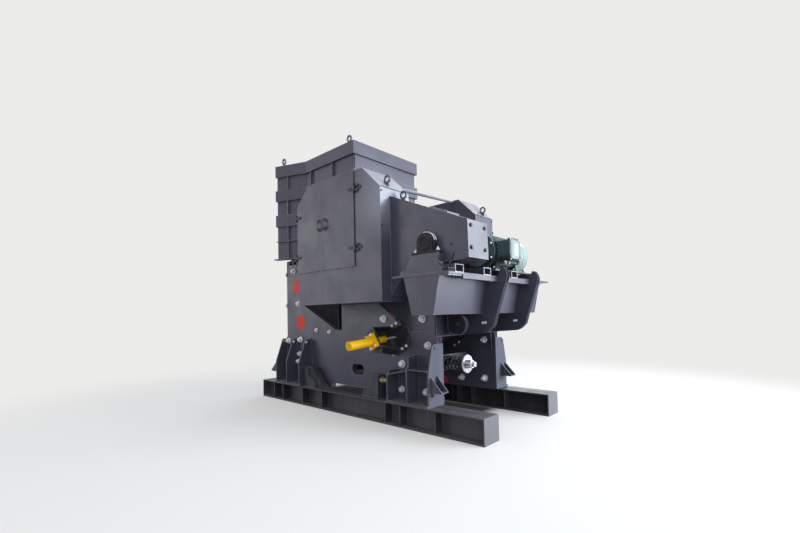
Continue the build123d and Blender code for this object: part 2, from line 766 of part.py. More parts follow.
def door_leaf(points, hinge_x, levels, handle_x):
    # a leaf with its moving knuckles, straps and pull handle
    toward = 1 if handle_x > hinge_x else -1
    strap_end = hinge_x + toward * 120
    with BuildPart() as leaf:
        side_slab(points, door_low_y, door_high_y)
        for z in levels:
            x_low, x_high = sorted([hinge_x, strap_end])
            block(x_low, x_high, -hinge_y - strap_thickness / 2, door_low_y,
                  z - hinge_strap_height / 2, z + hinge_strap_height / 2)
            with BuildSketch(Plane.XY.offset(z - hinge_knuckle / 2)) as barrel:
                with Locations((hinge_x, -hinge_y)):
                    Circle(hinge_barrel_radius)
            extrude(barrel.sketch, amount=hinge_knuckle)
            with BuildSketch(Plane.XY.offset(z - hinge_knuckle / 2)) as pin_bore:
                with Locations((hinge_x, -hinge_y)):
                    Circle(hinge_pin_radius + hinge_clearance)
            extrude(pin_bore.sketch, amount=hinge_knuckle, mode=Mode.SUBTRACT)
        for z in [handle_z - 70, handle_z + 55]:
            block(handle_x - 8, handle_x + 8, door_low_y - 35, door_low_y, z, z + 15)
        block(handle_x - 8, handle_x + 8, door_low_y - 50, door_low_y - 35,
              handle_z - 70, handle_z + 70)
    return leaf


save(door_leaf(front_leaf, front_hinge_x, front_hinge_levels, door_meeting_x - handle_inset),
     "door_front")
save(door_leaf(rear_leaf, rear_hinge_x, rear_hinge_levels, door_meeting_x + handle_inset),
     "door_rear")

# Fixed halves of the hinges: pins held above and below each moving knuckle
with BuildPart() as door_hinges:
    for hinge_x, levels, away in [(front_hinge_x, front_hinge_levels, -1),
                                  (rear_hinge_x, rear_hinge_levels, 1)]:
        for z in levels:
            pin_reach = hinge_knuckle / 2 + hinge_gap + hinge_lug + 6
            with BuildSketch(Plane.XY.offset(z - pin_reach)) as pin:
                with Locations((hinge_x, -hinge_y)):
                    Circle(hinge_pin_radius)
            extrude(pin.sketch, amount=2 * pin_reach)
            for lug_z in [z - hinge_knuckle / 2 - hinge_gap - hinge_lug, z + hinge_knuckle / 2 + hinge_gap]:
                x_low, x_high = sorted([hinge_x - away * hinge_pin_radius, hinge_x + away * 20])
                block(x_low, x_high, -hinge_y - 14, -hinge_y + 14, lug_z, lug_z + hinge_lug)
                if away > 0:
                    block(hinge_x + 4, hinge_x + 90, -hinge_y, -guard_outer_y, lug_z, lug_z + hinge_lug)
                else:
                    block(hinge_x - 20, guard_front_x, -hinge_y, -guard_outer_y + 90,
                          lug_z, lug_z + hinge_lug)
save(door_hinges, "door_hinges")

# Far doors: the same leaves on the hidden side, shut against the guard
with BuildPart() as doors_far:
    far_low = guard_outer_y
    for points in [front_leaf, rear_leaf]:
        side_slab(points, far_low, far_low + door_standoff + door_thickness)
    for handle_x in [door_meeting_x - handle_inset, door_meeting_x + handle_inset]:
        far_face = far_low + door_standoff + door_thickness
        block(handle_x - 8, handle_x + 8, far_face, far_face + 50, handle_z - 70, handle_z + 70)
save(doors_far, "doors_far")

# Belt guard between the near flywheel guard and the jackshaft
belt_guard_outline = [
    (guard_rear_x, 2010), (1447, 2043), (1581, 2196), (1700, 2290), (2100, 2392),
    (belt_guard_rear_x, 2440), (belt_guard_rear_x - 10, 2930), (guard_rear_x, 3510)]
belt_guard_hollow = [
    (guard_rear_x, 2020), (1442, 2050), (1575, 2203), (1696, 2298), (2098, 2400),
    (belt_guard_rear_x - 8, 2448), (belt_guard_rear_x - 18, 2924), (guard_rear_x, 3501)]
with BuildPart() as belt_guard:
    side_slab(belt_guard_outline, -belt_guard_outer_y, -belt_guard_inner_y)
    side_slab(belt_guard_hollow, -belt_guard_outer_y + sheet, -belt_guard_inner_y - sheet,
              Mode.SUBTRACT)
    cross_disc(jackshaft_x, jackshaft_z, coupling_radius + 20, -belt_guard_inner_y - sheet,
               -belt_guard_inner_y, Mode.SUBTRACT)
    cross_disc(jackshaft_x, jackshaft_z, jackshaft_radius + 40, -belt_guard_outer_y,
               -belt_guard_outer_y + sheet, Mode.SUBTRACT)
save(belt_guard, "belt_guard")

# Tie bar from the near guard's sloping plate up to the far guard's top plate
tie_bar_radius = 28
tie_bar_near = Vector(1290, -guard_inner_y, 3718)
tie_bar_far = Vector(885, guard_inner_y, guard_top_z - tie_bar_radius - 1)
with BuildPart() as guard_tie_bar:
    with BuildSketch(Plane(origin=tie_bar_near, x_dir=(1, 0, 0), z_dir=(0, 1, 0))):
        Circle(tie_bar_radius)
    extrude(amount=(tie_bar_far - tie_bar_near).length, dir=(tie_bar_far - tie_bar_near).normalized())
save(guard_tie_bar, "guard_tie_bar")

# Motor platform: a sheet tray under a deck plate, hung on arms from the rear beam
tray_outline = [(tray_top_front_x, deck_bottom_z), (tray_bottom_front_x, tray_bottom_z),
                (tray_bottom_rear_x, tray_bottom_z), (tray_top_rear_x, deck_bottom_z)]
tray_hollow = [(tray_top_front_x + 14, deck_bottom_z), (tray_bottom_front_x + 10, tray_bottom_z + 12),
               (tray_bottom_rear_x - 10, tray_bottom_z + 12), (tray_top_rear_x - 14, deck_bottom_z)]
with BuildPart() as platform_tray:
    side_slab(tray_outline, -tray_half_length, tray_half_length)
    side_slab(tray_hollow, -tray_half_length + tray_sheet, tray_half_length - tray_sheet,
              Mode.SUBTRACT)
    for y in [-750, 0, 750]:
        side_slab(tray_hollow, y - tray_sheet / 2, y + tray_sheet / 2)
save(platform_tray, "platform_tray")

deck_top_z = deck_bottom_z + deck_thickness
with BuildPart() as platform_deck:
    block(deck_front_x, deck_rear_x, -deck_half_length, deck_half_length, deck_bottom_z, deck_top_z)
    channel_low = deck_bottom_z - edge_channel_height
    block(deck_rear_x - edge_channel_depth, deck_rear_x, edge_channel_start_y, edge_channel_end_y,
          channel_low, deck_bottom_z)
    block(deck_rear_x - edge_channel_depth, deck_rear_x - 12, edge_channel_start_y, edge_channel_end_y,
          channel_low + 12, deck_bottom_z, Mode.SUBTRACT)
    block(deck_rear_x - edge_channel_depth, deck_rear_x - 15, -deck_half_length + 5,
          edge_channel_start_y, deck_bottom_z - edge_strip_height, deck_bottom_z)
    block(deck_front_x, 1710, -belt_guard_outer_y - 6, -belt_guard_inner_y + 6,
          deck_bottom_z, deck_top_z, Mode.SUBTRACT)
save(platform_deck, "platform_deck")

# Arms that carry the platform: two hooked plates joined along their rear edge, and a lug beside them
arm_rear_edge = [(2708, 2166), (2675, 2077), (2550, 1717), (2490, 1533), (2405, 1455), (2320, 1415),
                 (2200, 1405)]
arm_hook = [(2590, 2300), (2638, 2410), (2680, 2402), (2719, 2347), (2738, 2290), (2735, 2230)]
arm_outline = [(deck_rear_x, channel_low)] + arm_hook + arm_rear_edge + [
    (plate_rear_x + rear_flange, rear_beam_bottom_z), (plate_rear_x + rear_flange, tray_bottom_z),
    (tray_bottom_rear_x, tray_bottom_z), (2410, channel_low)]
arm_hollow = [(x - arm_plate, z + arm_plate / 2) for x, z in arm_rear_edge] + [
    (plate_rear_x + rear_flange + arm_plate, rear_beam_bottom_z + arm_plate),
    (plate_rear_x + rear_flange + arm_plate, tray_bottom_z + arm_plate),
    (tray_bottom_rear_x - arm_plate, tray_bottom_z + arm_plate), (2380, channel_low + arm_plate),
    (deck_rear_x - arm_plate, 2450), (2760, 2450), (2760, 2180)]
with BuildPart() as platform_arms:
    for y in arm_places:
        side_slab(arm_outline, y - arm_thickness / 2, y + arm_thickness / 2)
        side_slab(arm_hollow, y - arm_thickness / 2 + arm_plate, y + arm_thickness / 2 - arm_plate,
                  Mode.SUBTRACT)
    with BuildSketch(Plane.XZ.offset(-lug_y - lug_thickness / 2)) as lug:
        with BuildLine():
            lug_x = plate_rear_x + rear_flange
            Polyline((lug_x, 1462), (2049, 1408))
            ThreePointArc((2049, 1408), (2228, 1552), (2125, 1698))
            Polyline((2125, 1698), (lug_x, 1705), (lug_x, 1462))
        make_face()
    extrude(lug.sketch, amount=lug_thickness)
save(platform_arms, "platform_arms")

# Rectangular base tubes on the deck, with two rails for the motor's feet
tube_top_z = deck_top_z + tube_height
with BuildPart() as base_tubes:
    for y in tube_places:
        front_x = near_tube_front_x if y == tube_places[0] else deck_front_x + 60
        with BuildSketch(Plane.YZ.offset(front_x)) as tube:
            with Locations((y, deck_top_z + tube_height / 2)):
                Rectangle(tube_width, tube_height)
                Rectangle(tube_width - 2 * tube_wall, tube_height - 2 * tube_wall,
                          mode=Mode.SUBTRACT)
        extrude(tube.sketch, amount=deck_rear_x - front_x)
    for side in [-1, 1]:
        x = jackshaft_x + side * motor_foot_spread
        block(x - motor_rail_width / 2, x + motor_rail_width / 2, motor_rail_start_y, motor_rail_end_y,
              tube_top_z, tube_top_z + motor_rail_thickness)
save(base_tubes, "base_tubes")

# Motor: finned barrel with flange and feet on the base tubes
rail_top_z = tube_top_z + motor_rail_thickness
with BuildPart() as motor:
    cross_disc(jackshaft_x, jackshaft_z, motor_radius, motor_front_y, motor_rear_y)
    for fin in range(motor_fin_count):
        angle = 360 / motor_fin_count * fin
        if not 225 < angle < 315:
            fin_plane = Plane(origin=(jackshaft_x, motor_front_y + 60, jackshaft_z),
                              x_dir=(cos(radians(angle)), 0, sin(radians(angle))), z_dir=(0, 1, 0))
            with BuildSketch(fin_plane) as fin_sketch:
                with Locations((motor_radius, 0)):
                    Rectangle(2 * motor_fin_height, 7)
            extrude(fin_sketch.sketch, amount=motor_rear_y - motor_front_y - 90)
    cross_disc(jackshaft_x, jackshaft_z, motor_flange_radius, motor_front_y - motor_flange_thickness,
               motor_front_y)
    cross_disc(jackshaft_x, jackshaft_z, 110, motor_front_y - 60, motor_front_y)
    for side in [-1, 1]:
        x = jackshaft_x + side * motor_foot_spread
        for y_low, y_high in motor_feet:
            block(x - motor_foot_width / 2, x + motor_foot_width / 2, y_low, y_high,
                  rail_top_z, rail_top_z + 26)
            web_low, web_high = sorted([x - side * 60, x + side * 30])
            block(web_low, web_high, y_low + 25, y_high - 25, rail_top_z + 10, jackshaft_z - 176)
save(motor, "motor")

with BuildPart() as motor_fan_cowl:
    cross_disc(jackshaft_x, jackshaft_z, cowl_radius, motor_rear_y, motor_rear_y + cowl_length)
    chamfer(edges().group_by(Axis.Y)[-1], cowl_chamfer)
save(motor_fan_cowl, "motor_fan_cowl")

# Terminal box on the motor's open side, with a wider cover
with BuildPart() as motor_terminal_box:
    with BuildSketch(Plane.YZ.offset(jackshaft_x + 200)):
        with Locations((terminal_box_y, terminal_box_z)):
            RectangleRounded(terminal_box_width - 36, terminal_box_height - 36, 22)
    extrude(amount=terminal_box_front_x - terminal_cover - jackshaft_x - 200)
    with BuildSketch(Plane.YZ.offset(terminal_box_front_x - terminal_cover)):
        with Locations((terminal_box_y, terminal_box_z)):
            RectangleRounded(terminal_box_width, terminal_box_height, 30)
    extrude(amount=terminal_cover)
    cross_disc(jackshaft_x, jackshaft_z, motor_radius + motor_fin_height + 0.5,
               terminal_box_y - terminal_box_width, terminal_box_y + terminal_box_width, Mode.SUBTRACT)
save(motor_terminal_box, "motor_terminal_box")

# Bearing pedestal and the split bearing on it
pedestal_outline = [
    (1730, deck_top_z), (1730, 2325), (1788, 2325), (1903, pedestal_top_z), (2401, pedestal_top_z),
    (2401, 2400), (2425, 2355), (2480, 2330), (2580, 2325), (2580, deck_top_z)]
with BuildPart() as bearing_pedestal:
    side_slab(pedestal_outline, -pedestal_outer_y, -pedestal_inner_y)
    pocket_low = -pedestal_outer_y + 22
    for x_low, x_high in [(1930, 2130), (2160, 2375)]:
        block(x_low, x_high, pocket_low, -pedestal_inner_y, deck_top_z, pedestal_top_z - 30,
              Mode.SUBTRACT)
save(bearing_pedestal, "bearing_pedestal")

with BuildPart() as pillow_block:
    block(jackshaft_x - 225, jackshaft_x + 225, -pedestal_outer_y + 6, -pedestal_inner_y,
          pedestal_top_z, pedestal_top_z + bearing_foot_height)
    cross_disc(jackshaft_x, jackshaft_z, bearing_radius, -pedestal_outer_y + 12, -pedestal_inner_y + 4)
    block(jackshaft_x - bearing_radius, jackshaft_x + bearing_radius, -pedestal_outer_y + 12,
          -pedestal_inner_y + 4, pedestal_top_z, jackshaft_z)
    for y_low in [-pedestal_outer_y + 50, -pedestal_outer_y + 90]:
        cross_disc(jackshaft_x, jackshaft_z, bearing_radius + 14, y_low, y_low + 14)
    block(jackshaft_x - bearing_radius - 14, jackshaft_x + bearing_radius + 14,
          -pedestal_outer_y + 50, -pedestal_outer_y + 104, pedestal_top_z, jackshaft_z)
    cross_disc(jackshaft_x, jackshaft_z, jackshaft_radius + seat_clearance,
               -pedestal_outer_y + 40, -pedestal_inner_y + 4, Mode.SUBTRACT)
save(pillow_block, "pillow_block")


# Hopper: two flared side walls, a rear wall, a sill at the feed end, bands and ribs
def hopper_path(distance):
    # the near wall's line in plan, moved outwards: straight, then flared to the feed end
    return [(hopper_rear_x + distance, -hopper_half_width - distance),
            (hopper_kink_x, -hopper_half_width - distance),
            (hopper_front_x, -hopper_flare_y - distance)]


def wall_strip(inner, outer, x_stop, z_low, z_high):
    # a strip along the near wall between two distances from its outer face
    there = [(min(x, x_stop), y) for x, y in hopper_path(inner)]
    back = [(min(x, x_stop), y) for x, y in hopper_path(outer)]
    flat_slab(there + back[::-1], z_low, z_high)


hopper_floor_z = plate_top_z + hopper_flange_thickness
with BuildPart() as hopper_sides:
    wall_strip(-hopper_sheet, 0, hopper_rear_x, hopper_floor_z, hopper_top_z)
    wall_strip(-hopper_sheet, hopper_flange_reach - 30, hopper_rear_x, plate_top_z, hopper_floor_z)
    rib_floor = hopper_floor_z
    for z_low, z_high in band_levels[::-1]:
        for x, wall_y in zip(hopper_rib_places, hopper_rib_walls):
            block(x, x + hopper_rib_thickness, -wall_y - band_reach, -wall_y + 5, rib_floor, z_low)
        rib_floor = z_high
    cross_disc(shaft_x, shaft_z, housing_radius + 5, -1200, 0, Mode.SUBTRACT)
    mirror(about=Plane.XZ)
save(hopper_sides, "hopper_sides")

with BuildPart() as hopper_rear_wall:
    wall_y = hopper_half_width - hopper_sheet
    block(hopper_rear_x - hopper_sheet, hopper_rear_x, -wall_y, wall_y,
          hopper_rear_bottom_z, hopper_top_z)
    side_slab([(hopper_rear_x - hopper_sheet, hopper_rear_bottom_z), (deflector_x, deflector_z),
               (deflector_x, deflector_z - hopper_sheet),
               (hopper_rear_x, hopper_rear_bottom_z - hopper_sheet), (hopper_rear_x, hopper_rear_bottom_z)],
              -wall_y, wall_y)
save(hopper_rear_wall, "hopper_rear_wall")

with BuildPart() as hopper_front_sill:
    side_slab([(plate_front_x + 60, hopper_floor_z), (plate_front_x + 60, sill_top_z),
               (plate_front_x + 80, sill_top_z), (front_wall_rear_x + 100, hopper_floor_z + 30),
               (front_wall_rear_x + 100, plate_top_z), (plate_front_x + 60, plate_top_z)],
              -wall_y, wall_y)
    side_slab([(plate_front_x + 80, hopper_floor_z), (plate_front_x + 80, sill_top_z - 30),
               (front_wall_rear_x + 60, hopper_floor_z + 5)], -wall_y, wall_y, Mode.SUBTRACT)
    for y in [-400, 0, 400]:
        side_slab([(plate_front_x + 70, hopper_floor_z), (plate_front_x + 70, sill_top_z - 20),
                   (front_wall_rear_x + 70, hopper_floor_z + 10), (front_wall_rear_x + 70, hopper_floor_z)],
                  y - 10, y + 10)
save(hopper_front_sill, "hopper_front_sill")

with BuildPart() as hopper_bands:
    for z_low, z_high in band_levels:
        wall_strip(0, band_reach, hopper_rear_x + band_reach, z_low, z_high)
        block(hopper_rear_x, hopper_rear_x + band_reach, -hopper_half_width - band_reach,
              0, z_low, z_high)
    mirror(about=Plane.XZ)
save(hopper_bands, "hopper_bands")


# Feet: welded brackets that stand on the skid beams, with open ears at both ends
def foot_ear(start_x, direction, reach, top_z, outer_y):
    # a box open along its sloping top: two cheeks and a floor that reach out from an end gusset
    tip_x = start_x + direction * reach
    low_z = top_z - 240
    for y in [-outer_y, -plate_outer_y - 50 - ear_sheet]:
        side_slab([(start_x, top_z), (tip_x, top_z - 213), (tip_x, low_z + 6), (start_x, low_z)],
                  y, y + ear_sheet)
    side_slab([(start_x, low_z), (tip_x, low_z + 6), (tip_x, low_z + 6 + ear_sheet),
               (start_x, low_z + ear_sheet)], -outer_y, -plate_outer_y - 50)


back_y = -plate_outer_y - foot_back_plate
base_top_z = beam_height + foot_base_thickness


def tall_gusset(x):
    # a tapered gusset with a small hole near its top
    cross_slab([(-foot_outer_y, base_top_z), (back_y, base_top_z), (back_y, foot_top_z),
                (-1010, foot_top_z), (-foot_outer_y, 810)], x - foot_gusset / 2, x + foot_gusset / 2)
    with BuildSketch(Plane.YZ.offset(x - foot_gusset / 2)) as hole:
        with Locations((-996, foot_top_z - 50)):
            Circle(16)
    extrude(hole.sketch, amount=foot_gusset, mode=Mode.SUBTRACT)


with BuildPart() as front_feet:
    first, last = front_gusset_places[0], front_gusset_places[-1]
    block(first - 40, last + 40, -foot_outer_y - 5, -plate_outer_y, beam_height, base_top_z)
    side_slab([(first - 20, base_top_z), (last + 80, base_top_z), (last + 80, 1180),
               (last + 10, 1290), (first - 20, 1290)], back_y, -plate_outer_y)
    for x in front_gusset_places:
        tall_gusset(x)
    foot_ear(first - foot_gusset / 2, -1, front_ear_reach, 810, foot_outer_y - 25)
    mirror(about=Plane.XZ)
save(front_feet, "front_feet")

with BuildPart() as rear_feet:
    end_x = plate_rear_x + rear_flange
    first_low = rear_gusset_x - foot_gusset / 2
    middle_low = rear_mid_gusset_x - foot_gusset / 2
    block(rear_gusset_x - 30, end_x, -foot_outer_y - 5, -plate_outer_y, beam_height, base_top_z)
    side_slab([(first_low, base_top_z), (plate_rear_x, base_top_z), (plate_rear_x, 1120),
               (rear_mid_gusset_x, 1120), (rear_mid_gusset_x, 900), (first_low, 845)],
              back_y, -plate_outer_y)
    cross_slab([(-foot_outer_y, base_top_z), (back_y, base_top_z), (back_y, 845),
                (-1118, 845), (-foot_outer_y, 760)], first_low, first_low + foot_gusset)
    cross_slab([(-foot_outer_y - 5, base_top_z), (back_y, base_top_z), (back_y, 1088),
                (-1121, 1088), (-1131, 925), (-foot_outer_y - 5, 892)],
               middle_low, middle_low + foot_gusset)
    with BuildSketch(Plane.YZ.offset(middle_low)) as gusset_hole:
        with Locations((-1008, 1055)):
            Circle(16)
    extrude(gusset_hole.sketch, amount=foot_gusset, mode=Mode.SUBTRACT)
    cross_slab([(-1125, beam_height), (-plate_inner_y + 10, beam_height), (-plate_inner_y + 10, 1275),
                (-975, 1275), (-1018, 1255), (-1042, 1215), (-1125, 843)], plate_rear_x, end_x)
    with BuildSketch(Plane.YZ.offset(plate_rear_x)) as lifting_hole:
        with Locations((-980, 1213)):
            SlotOverall(60, 30, rotation=80)
    extrude(lifting_hole.sketch, amount=rear_flange, mode=Mode.SUBTRACT)
    shelf_y = -foot_outer_y + 15
    side_slab([(rear_gusset_x, 795), (rear_mid_gusset_x, 885), (rear_mid_gusset_x, 869),
               (rear_gusset_x, 779)], shelf_y, back_y)
    block(rear_mid_gusset_x, plate_rear_x, shelf_y, back_y, 879, 895)
    foot_ear(end_x, 1, rear_ear_reach, 813, 1091)
    mirror(about=Plane.XZ)
save(rear_feet, "rear_feet")


# Stoppers on the beams that hold the feet against sliding
def stopper(root_x, turn, toe_x, bolt_end_x):
    # a stepped face plate, a sloping block behind it and a buffer bolt
    top_z = 728
    side_slab([(root_x, beam_height), (root_x, top_z), (root_x + turn * 250, top_z),
               (toe_x, beam_height)], -1050, -930)
    steps = [(0, beam_height), (0, 690), (60, top_z), (134, 712), (143, 563), (248, 499),
             (331, 470), (392, 416), (392, beam_height)]
    side_slab([(root_x + turn * run, z) for run, z in steps], -1074, -1050)
    with BuildSketch(Plane.YZ.offset(min(root_x, bolt_end_x))) as bolt:
        with Locations((-1000, 655)):
            Circle(34)
    extrude(bolt.sketch, amount=abs(bolt_end_x - root_x))


with BuildPart() as beam_stoppers:
    stopper(last + 40, 1, last + 680, last + foot_gusset / 2)
    stopper(760, -1, 330, first_low)
    mirror(about=Plane.XZ)
save(beam_stoppers, "beam_stoppers")


# Lifting eyes on the hopper rim, the guards and the belt guard
def slope_height(x, ends):
    # the height of a straight top edge at one X
    (x1, z1), (x2, z2) = ends
    return z1 + (z2 - z1) * (x - x1) / (x2 - x1)


def lifting_eye(x, y, ends, lift=0):
    # a flat ring on a short foot that follows the edge it stands on
    steep = hypot(1, (ends[1][1] - ends[0][1]) / (ends[1][0] - ends[0][0]))
    centre_z = slope_height(x, ends) + eye_outer_radius * steep + lift
    low, high = y - eye_thickness / 2, y + eye_thickness / 2
    foot = eye_outer_radius / 2
    cross_disc(x, centre_z, eye_outer_radius, low, high)
    side_slab([(x - foot, slope_height(x - foot, ends)), (x + foot, slope_height(x + foot, ends)),
               (x + foot, centre_z), (x - foot, centre_z)], low, high)
    cross_disc(x, centre_z, eye_inner_radius, low, high, Mode.SUBTRACT)


rear_slope = [(guard_top_rear_x, guard_top_z), (guard_rear_x, guard_rear_shoulder_z)]
belt_slope = [(guard_rear_x, 3510), (belt_guard_rear_x - 10, 2930)]
hopper_rim = [(hopper_front_x, hopper_top_z), (hopper_rear_x, hopper_top_z)]
with BuildPart() as lifting_eyes:
    for side in [-1, 1]:
        lifting_eye(-2070, side * 1043, hopper_rim, 30)
        lifting_eye(1345, side * 1340, rear_slope, 2)
    lifting_eye(-133, -hopper_half_width - 15, hopper_rim, 2)
    lifting_eye(-644, hopper_half_width + 15, hopper_rim, 2)
    lifting_eye(1546, -1200, belt_slope, 2)
save(lifting_eyes, "lifting_eyes")
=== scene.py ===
import bpy
import math
import numpy as np
from mathutils import Matrix


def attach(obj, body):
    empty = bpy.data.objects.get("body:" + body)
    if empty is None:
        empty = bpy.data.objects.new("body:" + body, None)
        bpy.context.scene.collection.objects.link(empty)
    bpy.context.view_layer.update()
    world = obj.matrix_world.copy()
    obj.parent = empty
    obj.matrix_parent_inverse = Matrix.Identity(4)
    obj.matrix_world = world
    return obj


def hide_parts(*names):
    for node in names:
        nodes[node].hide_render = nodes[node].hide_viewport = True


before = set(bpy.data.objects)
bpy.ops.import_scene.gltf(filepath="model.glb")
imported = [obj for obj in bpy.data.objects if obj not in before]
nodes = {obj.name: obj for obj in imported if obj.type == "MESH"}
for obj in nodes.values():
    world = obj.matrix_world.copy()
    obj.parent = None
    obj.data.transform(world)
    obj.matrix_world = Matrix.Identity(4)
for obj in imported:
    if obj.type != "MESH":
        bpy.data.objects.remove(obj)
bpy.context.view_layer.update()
print("frame loaded:", len(nodes), "nodes")

nearOut, farOut = (0.0, -1.0, 0.0), (0.0, 1.0, 0.0)
frontOut, rearOut = (-1.0, 0.0, 0.0), (1.0, 0.0, 0.0)
upOut, downOut = (0.0, 0.0, 1.0), (0.0, 0.0, -1.0)

sharpAngle = 35
bevelSteps = 2


# Mesh helpers: every piece is arrays of points and faces joined into one mesh
def unit(vector):
    vector = np.asarray(vector, float)
    return vector / np.linalg.norm(vector)


def joinParts(parts):
    # stacks (points, faces) pairs, shifting each pair's face numbers past the points before it
    points, faces, start = [], [], 0
    for partPoints, partFaces in parts:
        points.append(partPoints)
        faces.extend([corner + start for corner in face] for face in partFaces)
        start += len(partPoints)
    return np.concatenate(points), faces


def makePiece(name, parts, finish, body="frame", bevelWidth=0.0):
    # one mesh of all the parts, with its finish, riding on its body and standing in its finish's slot
    points, faces = joinParts(parts)
    mesh = bpy.data.meshes.new(name)
    mesh.from_pydata(points.tolist(), [], faces)
    mesh.validate()
    mesh.polygons.foreach_set("use_smooth", [True] * len(mesh.polygons))
    piece = bpy.data.objects.new(name, mesh)
    bpy.context.scene.collection.objects.link(piece)
    mesh.set_sharp_from_angle(angle=math.radians(sharpAngle))
    if bevelWidth:
        bevel = piece.modifiers.new("softEdge", "BEVEL")
        bevel.width = bevelWidth
        bevel.segments = bevelSteps
        bevel.limit_method = "ANGLE"
    mesh.materials.append(materials[finish])
    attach(piece, body)
    return piece


def gridFaces(rows, columns, closeRows=False):
    # quads between neighbouring rows and columns of a grid of points, counted row by row;
    # the columns always close round, the rows where asked
    r, c = np.meshgrid(np.arange(rows if closeRows else rows - 1), np.arange(columns), indexing="ij")
    nextR, nextC = (r + 1) % rows, (c + 1) % columns
    quads = np.stack([r * columns + c, r * columns + nextC, nextR * columns + nextC, nextR * columns + c], -1)
    return quads.reshape(-1, 4).tolist()


def endFaces(rows, columns):
    # the flat ends of such a grid: its first row turned round, and its last
    return [list(range(columns))[::-1], list(range((rows - 1) * columns, rows * columns))]


def turnedPart(profile, segments):
    # surface of revolution: each (radius, height) of the profile is carried round the Z axis
    profile = np.asarray(profile, float)
    angles = np.arange(segments) * 2 * np.pi / segments
    ring = np.stack([np.cos(angles), np.sin(angles)], -1)
    points = np.concatenate([
        profile[:, None, :1] * ring[None], np.repeat(profile[:, None, 1:], segments, 1)], -1)
    return points.reshape(-1, 3), gridFaces(len(profile), segments) + endFaces(len(profile), segments)


def placeMany(part, places, axis, spin=0.0, turn=0.0):
    # copies of a part whose Z axis is turned to the given axis and whose origin goes to each place;
    # each copy is turned a little further about its own axis than the last
    points, faces = part
    z = unit(axis)
    x = unit(np.cross(upOut if abs(z[2]) < 0.9 else rearOut, z))
    y = np.cross(z, x)
    copies = []
    for index, place in enumerate(places):
        c, s = math.cos(spin + turn * index), math.sin(spin + turn * index)
        copies.append((points @ np.stack([x * c + y * s, y * c - x * s, z]) + np.asarray(place, float),
                       faces))
    return copies


# Shader groups shared by the paints and metals
def setInputs(node, **values):
    for label, value in values.items():
        node.inputs[label.replace("_", " ")].default_value = value


def newGroup(name, inputs, output):
    # a group with a colour socket for each tuple, a number socket for each other value, and one output
    group = bpy.data.node_groups.new(name, "ShaderNodeTree")
    for label, value in inputs.items():
        kind = "NodeSocketColor" if isinstance(value, tuple) else "NodeSocketFloat"
        group.interface.new_socket(name=label, in_out="INPUT", socket_type=kind).default_value = value
    kind = "NodeSocketColor" if output == "Color" else "NodeSocketFloat"
    group.interface.new_socket(name=output, in_out="OUTPUT", socket_type=kind)
    source = group.nodes.new("NodeGroupInput").outputs
    return group, source, group.nodes.new("NodeGroupOutput").inputs[output]


def addNode(tree, kind, links=(), **values):
    # makes a node, sets its properties and sockets, and links (output, input name) pairs into it
    node = tree.nodes.new(kind)
    for key, value in values.items():
        if hasattr(node, key):
            setattr(node, key, value)
        else:
            setInputs(node, **{key: value})
    for output, target in links:
        tree.links.new(output, node.inputs[target])
    return node


def feed(tree, value, socket):
    # links an output into the socket, or sets it to a number or colour
    if isinstance(value, (int, float)):
        socket.default_value = value
    elif isinstance(value, tuple):
        socket.default_value = (*value, 1.0)
    else:
        tree.links.new(value, socket)


def mathNode(tree, operation, first, second, clamp=False):
    node = addNode(tree, "ShaderNodeMath", operation=operation, use_clamp=clamp)
    feed(tree, first, node.inputs[0])
    feed(tree, second, node.inputs[1])
    return node.outputs[0]


def times(tree, first, second, clamp=False):
    return mathNode(tree, "MULTIPLY", first, second, clamp)


def plus(tree, first, second, clamp=False):
    return mathNode(tree, "ADD", first, second, clamp)


def rampNode(tree, value, low, high, outLow=0.0, outHigh=1.0):
    # smooth step from one value to the other between low and high
    return addNode(tree, "ShaderNodeMapRange", [(value, "Value")], interpolation_type="SMOOTHSTEP",
                   From_Min=low, From_Max=high, To_Min=outLow, To_Max=outHigh).outputs["Result"]


def objectPlace(tree):
    return tree.nodes.new("ShaderNodeTexCoord").outputs["Object"]


def splitVector(tree, vector):
    return addNode(tree, "ShaderNodeSeparateXYZ", [(vector, "Vector")]).outputs


def noiseNode(tree, scale, detail=4.0, roughness=0.5, stretch=None):
    place = objectPlace(tree)
    if stretch:
        place = addNode(tree, "ShaderNodeMapping", [(place, "Vector")], Scale=stretch).outputs["Vector"]
    noise = addNode(tree, "ShaderNodeTexNoise", [(place, "Vector")], Detail=detail, Roughness=roughness)
    feed(tree, scale, noise.inputs["Scale"])
    return noise.outputs["Fac"]


def mixColor(tree, factor, first, second):
    node = addNode(tree, "ShaderNodeMix", data_type="RGBA")
    for index, value in ((0, factor), (6, first), (7, second)):
        feed(tree, value, node.inputs[index])
    return node.outputs[2]


def edgeWearAndHighlightGroup():
    # rubbed edges and painted edge highlights: how far the normal of a rounded edge leans from the flat one,
    # broken up by noise
    group, source, sink = newGroup("edgeWearAndHighlight", {"Width": 0.006, "Amount": 0.5, "Breakup Scale": 9.0}, "Mask")
    rounded = addNode(group, "ShaderNodeBevel", [(source["Width"], "Radius")], samples=6)
    flat = group.nodes.new("ShaderNodeNewGeometry")
    lean = addNode(group, "ShaderNodeVectorMath", [(rounded.outputs[0], 0), (flat.outputs["Normal"], 1)],
                   operation="DOT_PRODUCT").outputs["Value"]
    edge = rampNode(group, mathNode(group, "SUBTRACT", 1.0, lean), 0.01, 0.16)
    breakup = rampNode(group, noiseNode(group, source["Breakup Scale"], 8.0, 0.7), 0.38, 0.62, 0.25, 1.0)
    group.links.new(times(group, times(group, edge, breakup), source["Amount"], True), sink)
    return group


